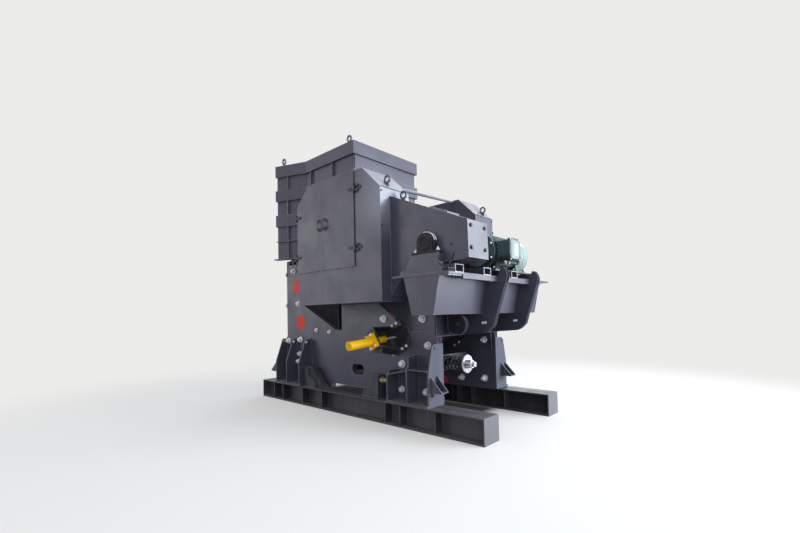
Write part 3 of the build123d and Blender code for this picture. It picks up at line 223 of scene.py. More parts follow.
def dustGroup():
    # dust: lies on faces that look up, hangs on the lowest part near the ground, thinned by noise
    group, source, sink = newGroup(
        "settledDust", {"Top Amount": 0.5, "Low Amount": 0.4, "Low Height": 0.6, "Grain Scale": 30.0}, "Mask")
    facing = splitVector(group, group.nodes.new("ShaderNodeNewGeometry").outputs["Normal"])
    height = splitVector(group, objectPlace(group))
    upward = times(group, rampNode(group, facing["Z"], 0.25, 0.95), source["Top Amount"])
    fall = mathNode(group, "DIVIDE", height["Z"], source["Low Height"])
    low = times(group, rampNode(group, fall, 0.0, 1.0, 1.0, 0.0), source["Low Amount"])
    grain = noiseNode(group, source["Grain Scale"], 9.0, 0.75)
    cloud = rampNode(group, noiseNode(group, 1.7, 5.0, 0.6), 0.3, 0.7, 0.35, 1.0)
    thinned = times(group, plus(group, upward, low, True), rampNode(group, grain, 0.35, 0.7, 0.5, 1.0))
    group.links.new(times(group, thinned, cloud, True), sink)
    return group


def streakGroup():
    # rain and dust runs: noise drawn out along Z, strongest in patches
    group, source, sink = newGroup("verticalStreaks", {"Width Scale": 14.0, "Amount": 0.3}, "Mask")
    runs = rampNode(group, noiseNode(group, source["Width Scale"], 5.0, 0.6, (1.0, 1.0, 0.06)), 0.48, 0.72)
    patches = rampNode(group, noiseNode(group, 0.9, 3.0, 0.5), 0.4, 0.65)
    group.links.new(times(group, times(group, runs, patches), source["Amount"], True), sink)
    return group


def paintToneGroup():
    # paint tone: the base colour lightened and darkened by broad clouds and by fine speckle
    group, source, sink = newGroup(
        "paintTone", {"Color": (0.5, 0.5, 0.5, 1.0), "Cloud Scale": 1.2, "Cloud Amount": 0.2,
                      "Speckle Amount": 0.1}, "Color")
    cloud = rampNode(group, noiseNode(group, source["Cloud Scale"], 6.0, 0.55), 0.25, 0.75, -1.0, 1.0)
    speckle = rampNode(group, noiseNode(group, 160.0, 4.0, 0.8), 0.3, 0.7, -1.0, 1.0)
    shift = plus(group, times(group, cloud, source["Cloud Amount"]),
                 times(group, speckle, source["Speckle Amount"]))
    gain = addNode(group, "ShaderNodeVectorMath", [(source["Color"], 0), (plus(group, shift, 1.0), "Scale")],
                   operation="SCALE")
    group.links.new(gain.outputs[0], sink)
    return group


groups = {"edge": edgeWearAndHighlightGroup(), "dust": dustGroup(), "streak": streakGroup(), "tone": paintToneGroup()}


def useGroup(tree, key, **values):
    node = addNode(tree, "ShaderNodeGroup", node_tree=groups[key])
    setInputs(node, **values)
    return node.outputs[0]


def newMaterial(name):
    material = bpy.data.materials.new(name)
    material.use_nodes = True
    return material, material.node_tree, material.node_tree.nodes["Principled BSDF"]


def addBump(tree, shader, height, strength, depth, links=()):
    bump = addNode(tree, "ShaderNodeBump", [(height, "Height"), *links], Strength=strength, Distance=depth)
    tree.links.new(bump.outputs[0], shader.inputs["Normal"])


def zoneMask(tree, zone):
    # one inside a box of X, distance from the middle plane and Z, fading to nothing over the soft width
    # round it
    place = splitVector(tree, objectPlace(tree))
    mask = zone.get("amount", 1.0)
    for axis in "xyz":
        if axis not in zone:
            continue
        value = place[axis.upper()]
        if axis == "y" or zone.get("bothEnds"):
            value = mathNode(tree, "ABSOLUTE", value, 0.0)
        low, high = zone[axis]
        soft = zone.get("softY", 0.003) if axis == "y" else zone.get("soft", 0.004)
        inside = times(tree, rampNode(tree, value, low - soft, low),
                       rampNode(tree, value, high, high + soft, 1.0, 0.0))
        mask = times(tree, inside, mask)
    return mask


paintBase = dict(cloudScale=1.1, cloud=0.16, speckle=0.08, streakScale=12.0, streak=0.3,
                 streakColor=(0.2, 0.19, 0.18), topDust=0.5, lowDust=0.3, lowHeight=0.7, dustGrain=34.0,
                 dustColor=(0.34, 0.31, 0.27), dustRoughness=0.35, edge=0.5, edgeWidth=0.007, edgeBreakup=7.0,
                 edgeColor=(0.36, 0.37, 0.4), zones=[], matteRoughness=0.6, bareZone=None, bareMetal=0.25,
                 specular=0.5, waveScale=2.6, wave=1.0, peelScale=240.0, peel=0.02, bumpDepth=0.004,
                 roundEdge=0.004)


def paintMaterial(name, ownLook):
    # machine paint: toned base, boxed zones of painted shade, painted light and the parts' own colours,
    # streaks, dust, rubbed edges that also carry painted edge highlights, rolled-plate waviness and fine peel
    look = dict(paintBase, **ownLook)
    material, tree, shader = newMaterial(name)
    color = useGroup(tree, "tone", Color=(*look["color"], 1.0), Cloud_Scale=look["cloudScale"],
                     Cloud_Amount=look["cloud"], Speckle_Amount=look["speckle"])
    matte = 0.0
    for zone in look["zones"]:
        mask = zoneMask(tree, zone)
        color = mixColor(tree, mask, color, zone["color"])
        if zone.get("matte", True):
            matte = mathNode(tree, "MAXIMUM", matte, mask)
    streak = useGroup(tree, "streak", Width_Scale=look["streakScale"], Amount=look["streak"])
    dust = useGroup(tree, "dust", Top_Amount=look["topDust"], Low_Amount=look["lowDust"],
                    Low_Height=look["lowHeight"], Grain_Scale=look["dustGrain"])
    edge = useGroup(tree, "edge", Width=look["edgeWidth"], Amount=look["edge"],
                    Breakup_Scale=look["edgeBreakup"])
    for mask, key in ((streak, "streakColor"), (dust, "dustColor"), (edge, "edgeColor")):
        color = mixColor(tree, mask, color, look[key])
    if look["bareZone"]:
        bare = zoneMask(tree, look["bareZone"])
        color = mixColor(tree, bare, color, look["bareZone"]["color"])
        tree.links.new(times(tree, bare, look["bareMetal"]), shader.inputs["Metallic"])
    tree.links.new(color, shader.inputs["Base Color"])
    rough = rampNode(tree, noiseNode(tree, 2.3, 6.0, 0.6), 0.3, 0.7, look["roughness"] - 0.07,
                     look["roughness"] + 0.09)
    dulled = plus(tree, rough, times(tree, dust, look["dustRoughness"]), True)
    if look["zones"]:
        dulled = plus(tree, dulled, times(tree, matte, look["matteRoughness"]), True)
    tree.links.new(dulled, shader.inputs["Roughness"])
    setInputs(shader, Specular_IOR_Level=look["specular"])
    wave = noiseNode(tree, look["waveScale"], 2.0, 0.4)
    peel = noiseNode(tree, look["peelScale"], 3.0, 0.6)
    height = plus(tree, times(tree, wave, look["wave"]), times(tree, peel, look["peel"]))
    rounded = addNode(tree, "ShaderNodeBevel", samples=4, Radius=look["roundEdge"])
    addBump(tree, shader, height, 1.0, look["bumpDepth"], [(rounded.outputs[0], "Normal")])
    return material


metalBase = dict(cloudScale=6.0, cloud=0.15, speckle=0.12, stainScale=9.0, stainFrom=0.5, stainTo=0.75,
                 stainColor=(0.09, 0.06, 0.04), stainRoughness=0.3, edge=0.4, edgeWidth=0.003,
                 edgeBreakup=20.0, edgeColor=(0.6, 0.6, 0.6), metallic=1.0, grainScale=120.0,
                 grainStretch=None, bump=0.3, bumpDepth=0.001)


def metalMaterial(name, ownLook):
    # bare or plated metal: toned colour, darker stains, machined or cast grain in the bump
    look = dict(metalBase, **ownLook)
    material, tree, shader = newMaterial(name)
    color = useGroup(tree, "tone", Color=(*look["color"], 1.0), Cloud_Scale=look["cloudScale"],
                     Cloud_Amount=look["cloud"], Speckle_Amount=look["speckle"])
    stains = rampNode(tree, noiseNode(tree, look["stainScale"], 7.0, 0.65), look["stainFrom"],
                      look["stainTo"], 0.0, look["stain"])
    color = mixColor(tree, stains, color, look["stainColor"])
    edge = useGroup(tree, "edge", Width=look["edgeWidth"], Amount=look["edge"],
                    Breakup_Scale=look["edgeBreakup"])
    tree.links.new(mixColor(tree, edge, color, look["edgeColor"]), shader.inputs["Base Color"])
    setInputs(shader, Metallic=look["metallic"])
    rough = rampNode(tree, noiseNode(tree, 30.0, 4.0, 0.6), 0.3, 0.7, look["roughness"] - 0.06,
                     look["roughness"] + 0.08)
    tree.links.new(plus(tree, times(tree, stains, look["stainRoughness"]), rough, True),
                   shader.inputs["Roughness"])
    addBump(tree, shader, noiseNode(tree, look["grainScale"], 5.0, 0.65, look["grainStretch"]), look["bump"],
            look["bumpDepth"])
    return material


def rubberMaterial(look):
    # belt rubber: near black, dusty, with a fine cord grain across the belt
    material, tree, shader = newMaterial("beltRubber")
    dust = useGroup(tree, "dust", Top_Amount=look["topDust"], Low_Amount=0.0, Low_Height=0.5,
                    Grain_Scale=50.0)
    tone = useGroup(tree, "tone", Color=(*look["color"], 1.0), Cloud_Scale=4.0, Cloud_Amount=0.2,
                    Speckle_Amount=0.25)
    tree.links.new(mixColor(tree, dust, tone, look["dustColor"]), shader.inputs["Base Color"])
    setInputs(shader, Roughness=look["roughness"])
    addBump(tree, shader, noiseNode(tree, look["cords"], 3.0, 0.6, (1.0, 0.2, 1.0)), 0.4, look["cordDepth"])
    return material


# slate and foot: a bright, wide edge colour, partly rubbed edges and partly painted edge highlights
slate = dict(color=(0.0725, 0.0695, 0.103), roughness=0.36, edge=0.85, edgeWidth=0.009,
             edgeColor=(0.46, 0.47, 0.52), topDust=0.3, lowDust=0.12, streak=0.11)
foot = dict(color=(0.062, 0.065, 0.09), roughness=0.42, edge=0.8, edgeWidth=0.009,
            edgeColor=(0.36, 0.37, 0.41), lowDust=0.08)
yellow = dict(color=(1.0, 0.56, 0.001), roughness=0.34, edge=0.25, edgeColor=(0.95, 0.6, 0.15), cloud=0.06,
              streak=0.15, streakColor=(0.35, 0.16, 0.02), wave=0.2, topDust=0.1, lowDust=0.0, specular=0.25)
shadowed = (0.004, 0.0045, 0.007)
beamStiffeners = (-2.392, -2.042, -1.326, -0.696, 0.993, 1.324, 2.016)
paintLooks = {
    "slatePaint": slate,
    "platePaint": dict(slate, zones=[
        # painted shade in the pocket, on its rib, in the rear recess and in the low recess
        dict(x=(-1.66, -0.39), y=(0.785, 0.868), z=(1.44, 2.3), color=shadowed, soft=0.008),
        dict(x=(-0.521, -0.489), y=(0.86, 0.88), z=(1.44, 2.3), color=(0.02, 0.022, 0.034), soft=0.001),
        dict(x=(0.55, 1.2), y=(0.85, 0.872), z=(1.45, 2.7), color=(0.03, 0.032, 0.045), soft=0.3, amount=0.9),
        dict(x=(-0.2, 0.3), y=(0.785, 0.866), z=(0.6, 0.9), color=shadowed),
        # the side plate's rear end face: painted light low down, painted shade above
        dict(x=(1.862, 1.9), z=(0.3, 0.95), color=(0.085, 0.09, 0.125)),
        dict(x=(1.862, 1.9), z=(0.954, 2.2), color=(0.02, 0.022, 0.03))]),
    # guard paint: painted highlight on the upper rear face of the guard, fading downwards
    "guardPaint": dict(slate, zones=[
        dict(x=(1.417, 1.43), z=(3.45, 3.7), color=(0.24, 0.25, 0.31), soft=0.75, matte=False)]),
    # near-black matte copy of the slate: painted shade for the rear beam
    "shadePaint": dict(slate, color=(0.016, 0.018, 0.028), roughness=0.75, specular=0.2),
    # arm paint: painted shade on the arms' edge faces and on the lug
    "armPaint": dict(slate, color=(0.06, 0.062, 0.092), edgeWidth=0.004, zones=[
        dict(y=(0.2008, 0.2732), color=(0.026, 0.028, 0.04), softY=0.0008),
        dict(y=(0.7618, 0.8342), color=(0.026, 0.028, 0.04), softY=0.0008),
        dict(x=(1.89, 2.25), y=(0.5, 0.68), z=(1.4, 1.75), color=(0.016, 0.017, 0.024), soft=0.02)]),
    # tube paint: painted highlight on the tube ends
    "tubePaint": dict(slate, zones=[dict(x=(2.584, 2.6), color=(0.5, 0.51, 0.55), soft=0.002, matte=False)]),
    # lighter copy of the slate: painted light for the sloping belt guard cover
    "litSlatePaint": dict(slate, color=(0.24, 0.25, 0.29), roughness=0.3),
    # lighter copy of the slate: painted light for the tie bar's lit top
    "litBarPaint": dict(slate, color=(0.17, 0.175, 0.21), roughness=0.3),
    # pedestal paint: painted shade on the low rear part of the bearing pedestal
    "pedestalPaint": dict(slate, zones=[
        dict(x=(2.50, 2.7), z=(2.2, 2.36), color=(0.02, 0.022, 0.03), soft=0.03)]),
    "beamPaint": dict(
        color=(0.062, 0.059, 0.068), roughness=0.46, lowDust=0.28, lowHeight=0.4, topDust=0.25, streak=0.25,
        edge=0.6, dustColor=(0.2, 0.195, 0.19),
        # painted light on both beam ends, painted shade on the inside of the webs
        zones=[dict(x=(2.834, 3.0), bothEnds=True, color=(0.15, 0.15, 0.165), matte=False),
               dict(x=(-2.8, 2.8), y=(0.955, 0.978), color=(0.014, 0.014, 0.018), soft=0.003)]
        # painted shade on the stiffeners' rear faces under the flange
        + [dict(x=(x + 0.0078, x + 0.0092), y=(0.985, 1.153), color=(0.012, 0.012, 0.016), soft=0.0006)
           for x in beamStiffeners]),
    "motorPaint": dict(
        color=(0.052, 0.09, 0.096), roughness=0.34, cloud=0.08, edge=0.5, topDust=0.15,
        edgeColor=(0.4, 0.46, 0.45), wave=0.3,
        # painted shade on the motor's lower part
        zones=[dict(y=(0.0, 0.27), z=(2.3, 2.55), color=(0.012, 0.018, 0.02), soft=0.12, softY=0.1)]),
    "cowlPaint": dict(color=(0.3, 0.38, 0.37), roughness=0.28, cloud=0.08, edge=0.4, topDust=0.1,
                      edgeColor=(0.6, 0.66, 0.64), wave=0.3),
    "platePale": dict(color=(0.4, 0.425, 0.425), roughness=0.4, cloud=0.05, edge=0.2, topDust=0.05,
                      streak=0.1, wave=0.1),
    "lidPaint": dict(color=(0.2, 0.27, 0.26), roughness=0.3, cloud=0.05, edge=0.3, topDust=0.05, streak=0.1,
                     edgeColor=(0.4, 0.46, 0.45), wave=0.2),
    "fittingPaint": dict(slate, color=(0.062, 0.062, 0.086), edge=0.3, edgeWidth=0.0015, streak=0.05),
    "blackPaint": dict(color=(0.024, 0.025, 0.032), roughness=0.45, edge=0.4, edgeWidth=0.002,
                       edgeColor=(0.16, 0.165, 0.19), dustColor=(0.22, 0.2, 0.18)),
    "castBlack": dict(color=(0.02, 0.02, 0.024), roughness=0.62, specular=0.3, edge=0.6,
                      edgeColor=(0.2, 0.19, 0.18), topDust=0.2),
    # foot paint: painted light on the rear foot's end plate
    "footPaint": dict(foot, zones=[dict(x=(1.862, 1.9), color=(0.1, 0.105, 0.14))]),
    "housingPaint": dict(color=(0.03, 0.031, 0.042), roughness=0.5, edge=0.7, edgeColor=(0.24, 0.25, 0.28)),
    "stopperPaint": dict(
        foot, color=(0.036, 0.038, 0.056), roughness=0.5, edgeWidth=0.006, topDust=0.12,
        zones=[dict(x=x, y=(0.96, 1.04), z=(0.6, 0.7), color=(0.34, 0.29, 0.17), soft=0.001, matte=False)
               for x in ((0.762, 1.06), (-1.41, -1.382))]
        # painted shade on the front stopper's block
        + [dict(x=(-1.37, -0.4), y=(0.92, 1.049), color=(0.026, 0.027, 0.036), soft=0.001)]),
    "yellowPaint": yellow,
    "cylinderPaint": dict(yellow, bareZone=dict(y=(0.8, 1.046), color=(0.8, 0.8, 0.81))),
    "tealPaint": dict(color=(0.14, 0.22, 0.225), roughness=0.36, cloud=0.08, edge=0.35, topDust=0.25,
                      edgeColor=(0.6, 0.66, 0.64), wave=0.3),
    "springPaint": dict(color=(0.03, 0.03, 0.036), roughness=0.3, edge=0.4, edgeColor=(0.3, 0.31, 0.34),
                        wave=0.1, topDust=0.1, lowDust=0.0),
    "redPaint": dict(color=(0.86, 0.075, 0.055), roughness=0.55, specular=0.2, cloud=0.08, edge=0.1,
                     streak=0.1, wave=0.5),
}
metalLooks = {
    "zincSteel": dict(color=(0.93, 0.935, 0.96), roughness=0.36, stain=0.3, stainColor=(0.45, 0.45, 0.47),
                      metallic=0.05, edge=0.3, edgeColor=(0.95, 0.95, 0.96)),
    "brassZinc": dict(color=(0.42, 0.36, 0.2), roughness=0.4, stain=0.4, stainColor=(0.14, 0.1, 0.05),
                      metallic=0.5, edge=0.3, edgeColor=(0.7, 0.66, 0.5)),
    "machinedSteel": dict(color=(0.4, 0.4, 0.41), roughness=0.38, stain=0.35, grainStretch=(1.0, 0.05, 1.0)),
    "castIron": dict(color=(0.02, 0.02, 0.023), roughness=0.72, metallic=0.1, stain=0.4, bump=0.6,
                     grainScale=70.0, bumpDepth=0.002),
    "jawSteel": dict(color=(0.28, 0.26, 0.24), roughness=0.46, metallic=0.9, stain=0.6, bump=0.8,
                     grainScale=45.0, bumpDepth=0.004, stainColor=(0.12, 0.07, 0.04)),
}
rubberLook = dict(color=(0.018, 0.018, 0.019), roughness=0.62, topDust=0.35, dustColor=(0.16, 0.15, 0.14),
                  cords=300.0, cordDepth=0.0008)
materials = {key: paintMaterial(key, look) for key, look in paintLooks.items()}
materials.update({key: metalMaterial(key, look) for key, look in metalLooks.items()})
materials["beltRubber"] = rubberMaterial(rubberLook)

nodeFinish = {
    "guardPaint": ["guard_near"],
    "slatePaint": ["front_wall", "guard_far", "door_front", "door_rear", "doors_far", "belt_guard",
                   "platform_tray", "platform_deck", "hopper_sides", "hopper_rear_wall",
                   "hopper_front_sill", "hopper_bands", "lifting_eyes", "bearing_housings"],
    "armPaint": ["platform_arms"],
    "litBarPaint": ["guard_tie_bar"],
    "tubePaint": ["base_tubes"],
    "castBlack": ["pillow_block"],
    "stopperPaint": ["beam_stoppers"],
    "platePaint": ["side_plate_near", "side_plate_far"],
    # the rear beam takes the near-black matte slate as painted shade
    "shadePaint": ["rear_beam"],
    "pedestalPaint": ["bearing_pedestal"],
    "beamPaint": ["skid_beams"],
    # the spring seat takes the black paint as painted shade; the spring and hinges are black paint
    "blackPaint": ["tension_spring", "spring_seat", "door_hinges"],
    "footPaint": ["front_feet", "rear_feet"],
    "housingPaint": ["wedge_housings"],
    "cylinderPaint": ["adjusting_cylinders"],
    "motorPaint": ["motor", "motor_terminal_box"],
    "cowlPaint": ["motor_fan_cowl"],
    "castIron": ["swing_jaw", "toggle_plate", "flywheel_near", "flywheel_far", "wedge_blocks"],
    "jawSteel": ["fixed_jaw_plate", "swing_jaw_plate", "cheek_plates"],
    "machinedSteel": ["tension_rod", "eccentric_shaft", "jackshaft"],
    "beltRubber": ["drive_belt"],
}
for finish, members in nodeFinish.items():
    for member in members:
        nodes[member].data.materials.clear()
        nodes[member].data.materials.append(materials[finish])
print("finishes set")


# Shapes that the pieces are put together from
def hexPart(flats, height, chamfer=0.14, segments=24):
    # hexagon: the edge lies at half the width over the cosine of the angle folded to 30 degrees;
    # the top ring is cut back to a circle
    angles = np.arange(segments) * 2 * np.pi / segments
    reach = flats / 2 / np.cos((angles + np.pi / 6) % (np.pi / 3) - np.pi / 6)
    rows = [(reach, 0.0), (reach, height * (1 - chamfer)), (np.minimum(reach, flats * 0.47), height)]
    points = np.concatenate([
        np.stack([r * np.cos(angles), r * np.sin(angles), np.full(segments, z)], -1) for r, z in rows])
    return points, gridFaces(3, segments) + endFaces(3, segments)


def studPart(radius, length, start=0.0, pitch=0.004, segments=20, depth=0.0018, taper=0.005, point=0.003):
    # threaded end: the radius steps in and out by the thread's depth along the axis, with a pointed tip
    heights = start + np.arange(0.0, length, pitch / 2)
    radii = radius - depth * (np.arange(len(heights)) % 2)
    profile = np.stack([radii, heights], -1).tolist() + [[radius - taper, start + length + point]]
    return turnedPart(profile, segments)


def raised(part, height):
    return part[0] + [0.0, 0.0, height], part[1]


def boltPart(look):
    # washer, hexagon and threaded end standing on Z = 0
    rim, washer, head = look["washer"], look["washerThick"], look["head"]
    chamfer = min(washer * 0.3, 0.003)
    parts = [turnedPart([(rim, 0.0), (rim, washer - chamfer), (rim - chamfer, washer)], 32),
             raised(hexPart(look["flats"], head), washer)]
    if "stud" in look:
        parts.append(studPart(look["stud"], look["studLength"], washer + head))
    return joinParts(parts)


def tubePart(path, radius, sides=8, across=upOut):
    # round tube: a circle set square to the path at each of its points, ends closed
    path = np.asarray(path, float)
    radius = np.broadcast_to(np.asarray(radius, float), (len(path),))
    along = np.gradient(path, axis=0)
    along = along / np.linalg.norm(along, axis=1, keepdims=True)
    side = np.cross(along, across)
    side = side / np.linalg.norm(side, axis=1, keepdims=True)
    up = np.cross(along, side)
    angles = np.arange(sides) * 2 * np.pi / sides
    ring = side[:, None] * np.cos(angles)[None, :, None] + up[:, None] * np.sin(angles)[None, :, None]
    points = path[:, None] + ring * radius[:, None, None]
    return points.reshape(-1, 3), gridFaces(len(path), sides) + endFaces(len(path), sides)


def roundedPath(corners, count, blur):
    # a line through the corners sampled evenly, then rounded by averaging each point with its neighbours
    corners = np.asarray(corners, float)
    lengths = np.concatenate([[0.0], np.cumsum(np.linalg.norm(np.diff(corners, axis=0), axis=1))])
    places = np.linspace(0.0, lengths[-1], count)
    path = np.stack([np.interp(places, lengths, corners[:, k]) for k in range(3)], -1)
    padded = np.concatenate([np.repeat(path[:1], blur, 0), path, np.repeat(path[-1:], blur, 0)])
    kernel = np.ones(2 * blur + 1) / (2 * blur + 1)
    return np.stack([np.convolve(padded[:, k], kernel, "valid") for k in range(3)], -1)


def ringPart(profile, segments):
    # closed section carried round the Z axis, for washers, tori and hoops
    return turnedPart(profile, segments)[0], gridFaces(len(profile), segments, closeRows=True)


def slabPart(corners, depth):
    # an outline in X and Y, turning left, lifted from Z = 0 to the depth
    corners = np.asarray(corners, float)
    count = len(corners)
    points = np.concatenate([np.c_[corners, np.zeros(count)], np.c_[corners, np.full(count, depth)]])
    return points, gridFaces(2, count) + endFaces(2, count)


def roundedBox(width, height, radius, steps=5):
    # corners of a rectangle with quarter-circle corners, centred on the origin
    turn = np.linspace(0.0, np.pi / 2, steps)
    quarters = []
    for index, (sx, sy) in enumerate([(1, 1), (-1, 1), (-1, -1), (1, -1)]):
        angle = turn + index * np.pi / 2
        quarters.append(np.stack([sx * (width / 2 - radius) + radius * np.cos(angle),
                                  sy * (height / 2 - radius) + radius * np.sin(angle)], -1))
    return np.concatenate(quarters)


def arcBand(inner, outer, width, start, end, steps=24):
    # a rectangular section carried round an arc about the Z axis, its ends closed
    angles = np.linspace(start, end, steps)
    section = np.array([[inner, 0.0], [outer, 0.0], [outer, width], [inner, width]])
    points = np.stack([section[None, :, 0] * np.cos(angles)[:, None],
                       section[None, :, 0] * np.sin(angles)[:, None],
                       np.broadcast_to(section[None, :, 1], (steps, 4))], -1).reshape(-1, 3)
    return points, [face[::-1] for face in gridFaces(steps, 4) + endFaces(steps, 4)]


def setAt(part, origin, xAxis=rearOut, yAxis=upOut):
    # a part's X and Y turned to the given axes, its origin moved to the place
    x, y = unit(xAxis), unit(yAxis)
    return part[0] @ np.stack([x, y, np.cross(x, y)]) + np.asarray(origin, float), part[1]


def bothSides(parts):
    # the parts and their far twins: Y changes sign and every face turns round
    return parts + [(points * [1.0, -1.0, 1.0], [list(f)[::-1] for f in faces]) for points, faces in parts]


def atY(y, pairs):
    # places at one Y, given as (X, Z)
    return [(x, y, z) for x, z in pairs]


def circleAtY(centre, y, radius, count, start=0.0):
    # places evenly round a circle at one Y, its centre given as (X, Z)
    angles = start + np.arange(count) * 2 * math.pi / count
    return atY(y, [(centre[0] + radius * math.cos(a), centre[1] + radius * math.sin(a)) for a in angles])


# Bolts that hold the side plates to the front wall, beam and seats; (x, y, z) on the near side
frameBolts = dict(
    head=dict(washer=0.062, washerThick=0.009, flats=0.086, head=0.046, stud=0.025, studLength=0.018),
    small=dict(washer=0.055, washerThick=0.009, flats=0.076, head=0.04, stud=0.021, studLength=0.014),
    long=dict(washer=0.062, washerThick=0.009, flats=0.086, head=0.046, stud=0.032, studLength=0.040),
    plate=[(-2.005, -0.880, 2.694), (-1.826, -0.880, 1.997), (0.729, -0.880, 1.661), (1.578, -0.860, 1.654),
           (1.696, -0.880, 1.245), (1.146, -0.880, 0.930)],
    foot=atY(-0.905, [(-1.739, 1.250), (-2.190, 1.212)]),
    footSmall=atY(-0.905, [(-1.776, 0.952), (-1.825, 0.795), (1.153, 0.528), (1.661, 0.536)]),
    edge=atY(-0.845, [(-2.290, 2.640), (-2.290, 1.971), (-2.290, 1.218)]),
    inner=atY(-0.780, [(1.135, 0.505), (1.645, 0.530), (1.655, 1.235)]))
big = boltPart(frameBolts["head"])
parts = placeMany(big, frameBolts["plate"] + frameBolts["foot"], nearOut, turn=0.8)
parts += placeMany(boltPart(frameBolts["small"]), frameBolts["footSmall"], nearOut, turn=0.6)
parts += placeMany(big, frameBolts["edge"], frontOut, turn=0.5)
parts += placeMany(boltPart(frameBolts["long"]), frameBolts["inner"], farOut, turn=0.7)
makePiece("frame_bolts", bothSides(parts), "zincSteel")
print("frame bolts made")

# Small bolts: plate, wedge housings, wedge stops inside and the first gussets
smallBolts = dict(
    head=dict(washer=0.042, washerThick=0.006, flats=0.06, head=0.030, stud=0.018, studLength=0.010),
    tiny=dict(washer=0.024, washerThick=0.004, flats=0.034, head=0.016),
    plate=atY(-0.880, [(-1.207, 1.448), (-0.783, 1.421)]),
    housing=atY(-0.905, [(0.950, 1.540), (1.045, 1.585), (0.975, 1.072), (1.172, 1.178), (1.262, 1.226)]),
    inner=atY(-0.780, [(1.080, 1.169), (0.977, 1.110)]),
    gusset=atY(-0.996, [(-1.8675, 1.210), (-1.4075, 1.210)]))
smallBolt, tinyBolt = boltPart(smallBolts["head"]), boltPart(smallBolts["tiny"])
parts = placeMany(smallBolt, smallBolts["plate"], nearOut, turn=0.9)
parts += placeMany(tinyBolt, smallBolts["housing"], nearOut, turn=0.7)
parts += placeMany(tinyBolt, smallBolts["inner"], farOut, turn=0.4)
parts += placeMany(tinyBolt, smallBolts["gusset"], rearOut)
makePiece("small_bolts", bothSides(parts), "zincSteel")

# Black screws of the sheet guards
guardScrews = dict(
    head=dict(washer=0.017, washerThick=0.003, flats=0.022, head=0.011),
    endHead=dict(washer=0.03, washerThick=0.004, flats=0.042, head=0.018), endOut=(1.0, 0.0, 0.02),
    guard=atY(-1.544, [(1.420, 3.561), (1.420, 3.044), (1.420, 2.520), (1.420, 2.050)]),
    beltEnd=[(2.8015, -1.295, 2.860), (2.8015, -0.970, 2.857), (2.807, -1.300, 2.571),
             (2.807, -0.974, 2.564)],
    beltNear=[(2.535, -1.370, 2.638)])
guardScrew = boltPart(guardScrews["head"])
makePiece("guard_screws", bothSides(placeMany(guardScrew, guardScrews["guard"], rearOut, turn=0.5)),
          "blackPaint")
parts = placeMany(boltPart(guardScrews["endHead"]), guardScrews["beltEnd"], guardScrews["endOut"], turn=0.7)
parts += placeMany(guardScrew, guardScrews["beltNear"], nearOut)
makePiece("belt_guard_screws", parts, "blackPaint")

# Black bosses under the hopper flange, each with a paler ring
hopperBosses = dict(places=atY(-0.880, [(-2.110, 2.872), (-1.960, 2.872)]), radius=0.05, length=0.052)
r, h = hopperBosses["radius"], hopperBosses["length"]
boss = joinParts([
    turnedPart([(r, 0.0), (r, h * 0.8), (r - 0.006, h), (r - 0.02, h), (r - 0.024, h - 0.012)], 32),
    hexPart(r * 0.9, h * 0.95)])
makePiece("hopper_bosses", bothSides(placeMany(boss, hopperBosses["places"], nearOut)), "blackPaint")
ring = ringPart([(r + 0.004, 0.0), (r + 0.014, 0.0), (r + 0.014, 0.006), (r + 0.004, 0.006)], 32)
makePiece("hopper_boss_rings", bothSides(placeMany(ring, hopperBosses["places"], nearOut)), "zincSteel")

# Painted red marks: brushed discs on the plates and a thin red run above the wedge housing
redMarks = dict(discs=atY(-0.880, [(-1.887, 2.360), (-1.772, 1.614)]), radius=0.152, lift=0.0012,
                run=[(0.848, 1.771), (0.994, 1.681)], runY=-0.860, runWidth=0.013,
                inner=[(0.73, -0.780, 0.43)], innerRadius=0.07, brush=0.008, innerBrush=0.02)


def brushedDisc(radius, unevenness, segments=72):
    # circle whose edge wanders a little, as paint put on with a brush
    angles = np.arange(segments) * 2 * np.pi / segments
    wander = unevenness * (np.sin(3 * angles + 0.7) + 0.6 * np.sin(7 * angles)
                           + 0.4 * np.sin(13 * angles + 2))
    reach = radius * (1 + wander)
    return slabPart(np.stack([reach * np.cos(angles), reach * np.sin(angles)], -1), redMarks["lift"])


parts = placeMany(brushedDisc(redMarks["radius"], redMarks["brush"]), redMarks["discs"], nearOut)
(startX, startZ), (endX, endZ) = redMarks["run"]
runX, runZ, half = endX - startX, endZ - startZ, redMarks["runWidth"] / 2
runLength = math.hypot(runX, runZ)
run = slabPart([(0.0, -half), (runLength, -half * 2 / 3), (runLength, half * 2 / 3), (0.0, half)],
               redMarks["lift"])
parts.append(setAt(run, (startX, redMarks["runY"], startZ), (runX, 0.0, runZ), (-runZ, 0.0, runX)))
parts += placeMany(brushedDisc(redMarks["innerRadius"], redMarks["innerBrush"]), redMarks["inner"], farOut)
makePiece("red_marks", bothSides(parts), "redPaint")

# Yellow plug in the first gusset's hole
plugLook = dict(place=(-2.2575, -0.996, 1.210), profile=[(0.015, -0.003), (0.0155, 0.003), (0.011, 0.007)])
plug = turnedPart(plugLook["profile"], 20)
makePiece("foot_plugs", bothSides(placeMany(plug, [plugLook["place"]], rearOut)), "yellowPaint")

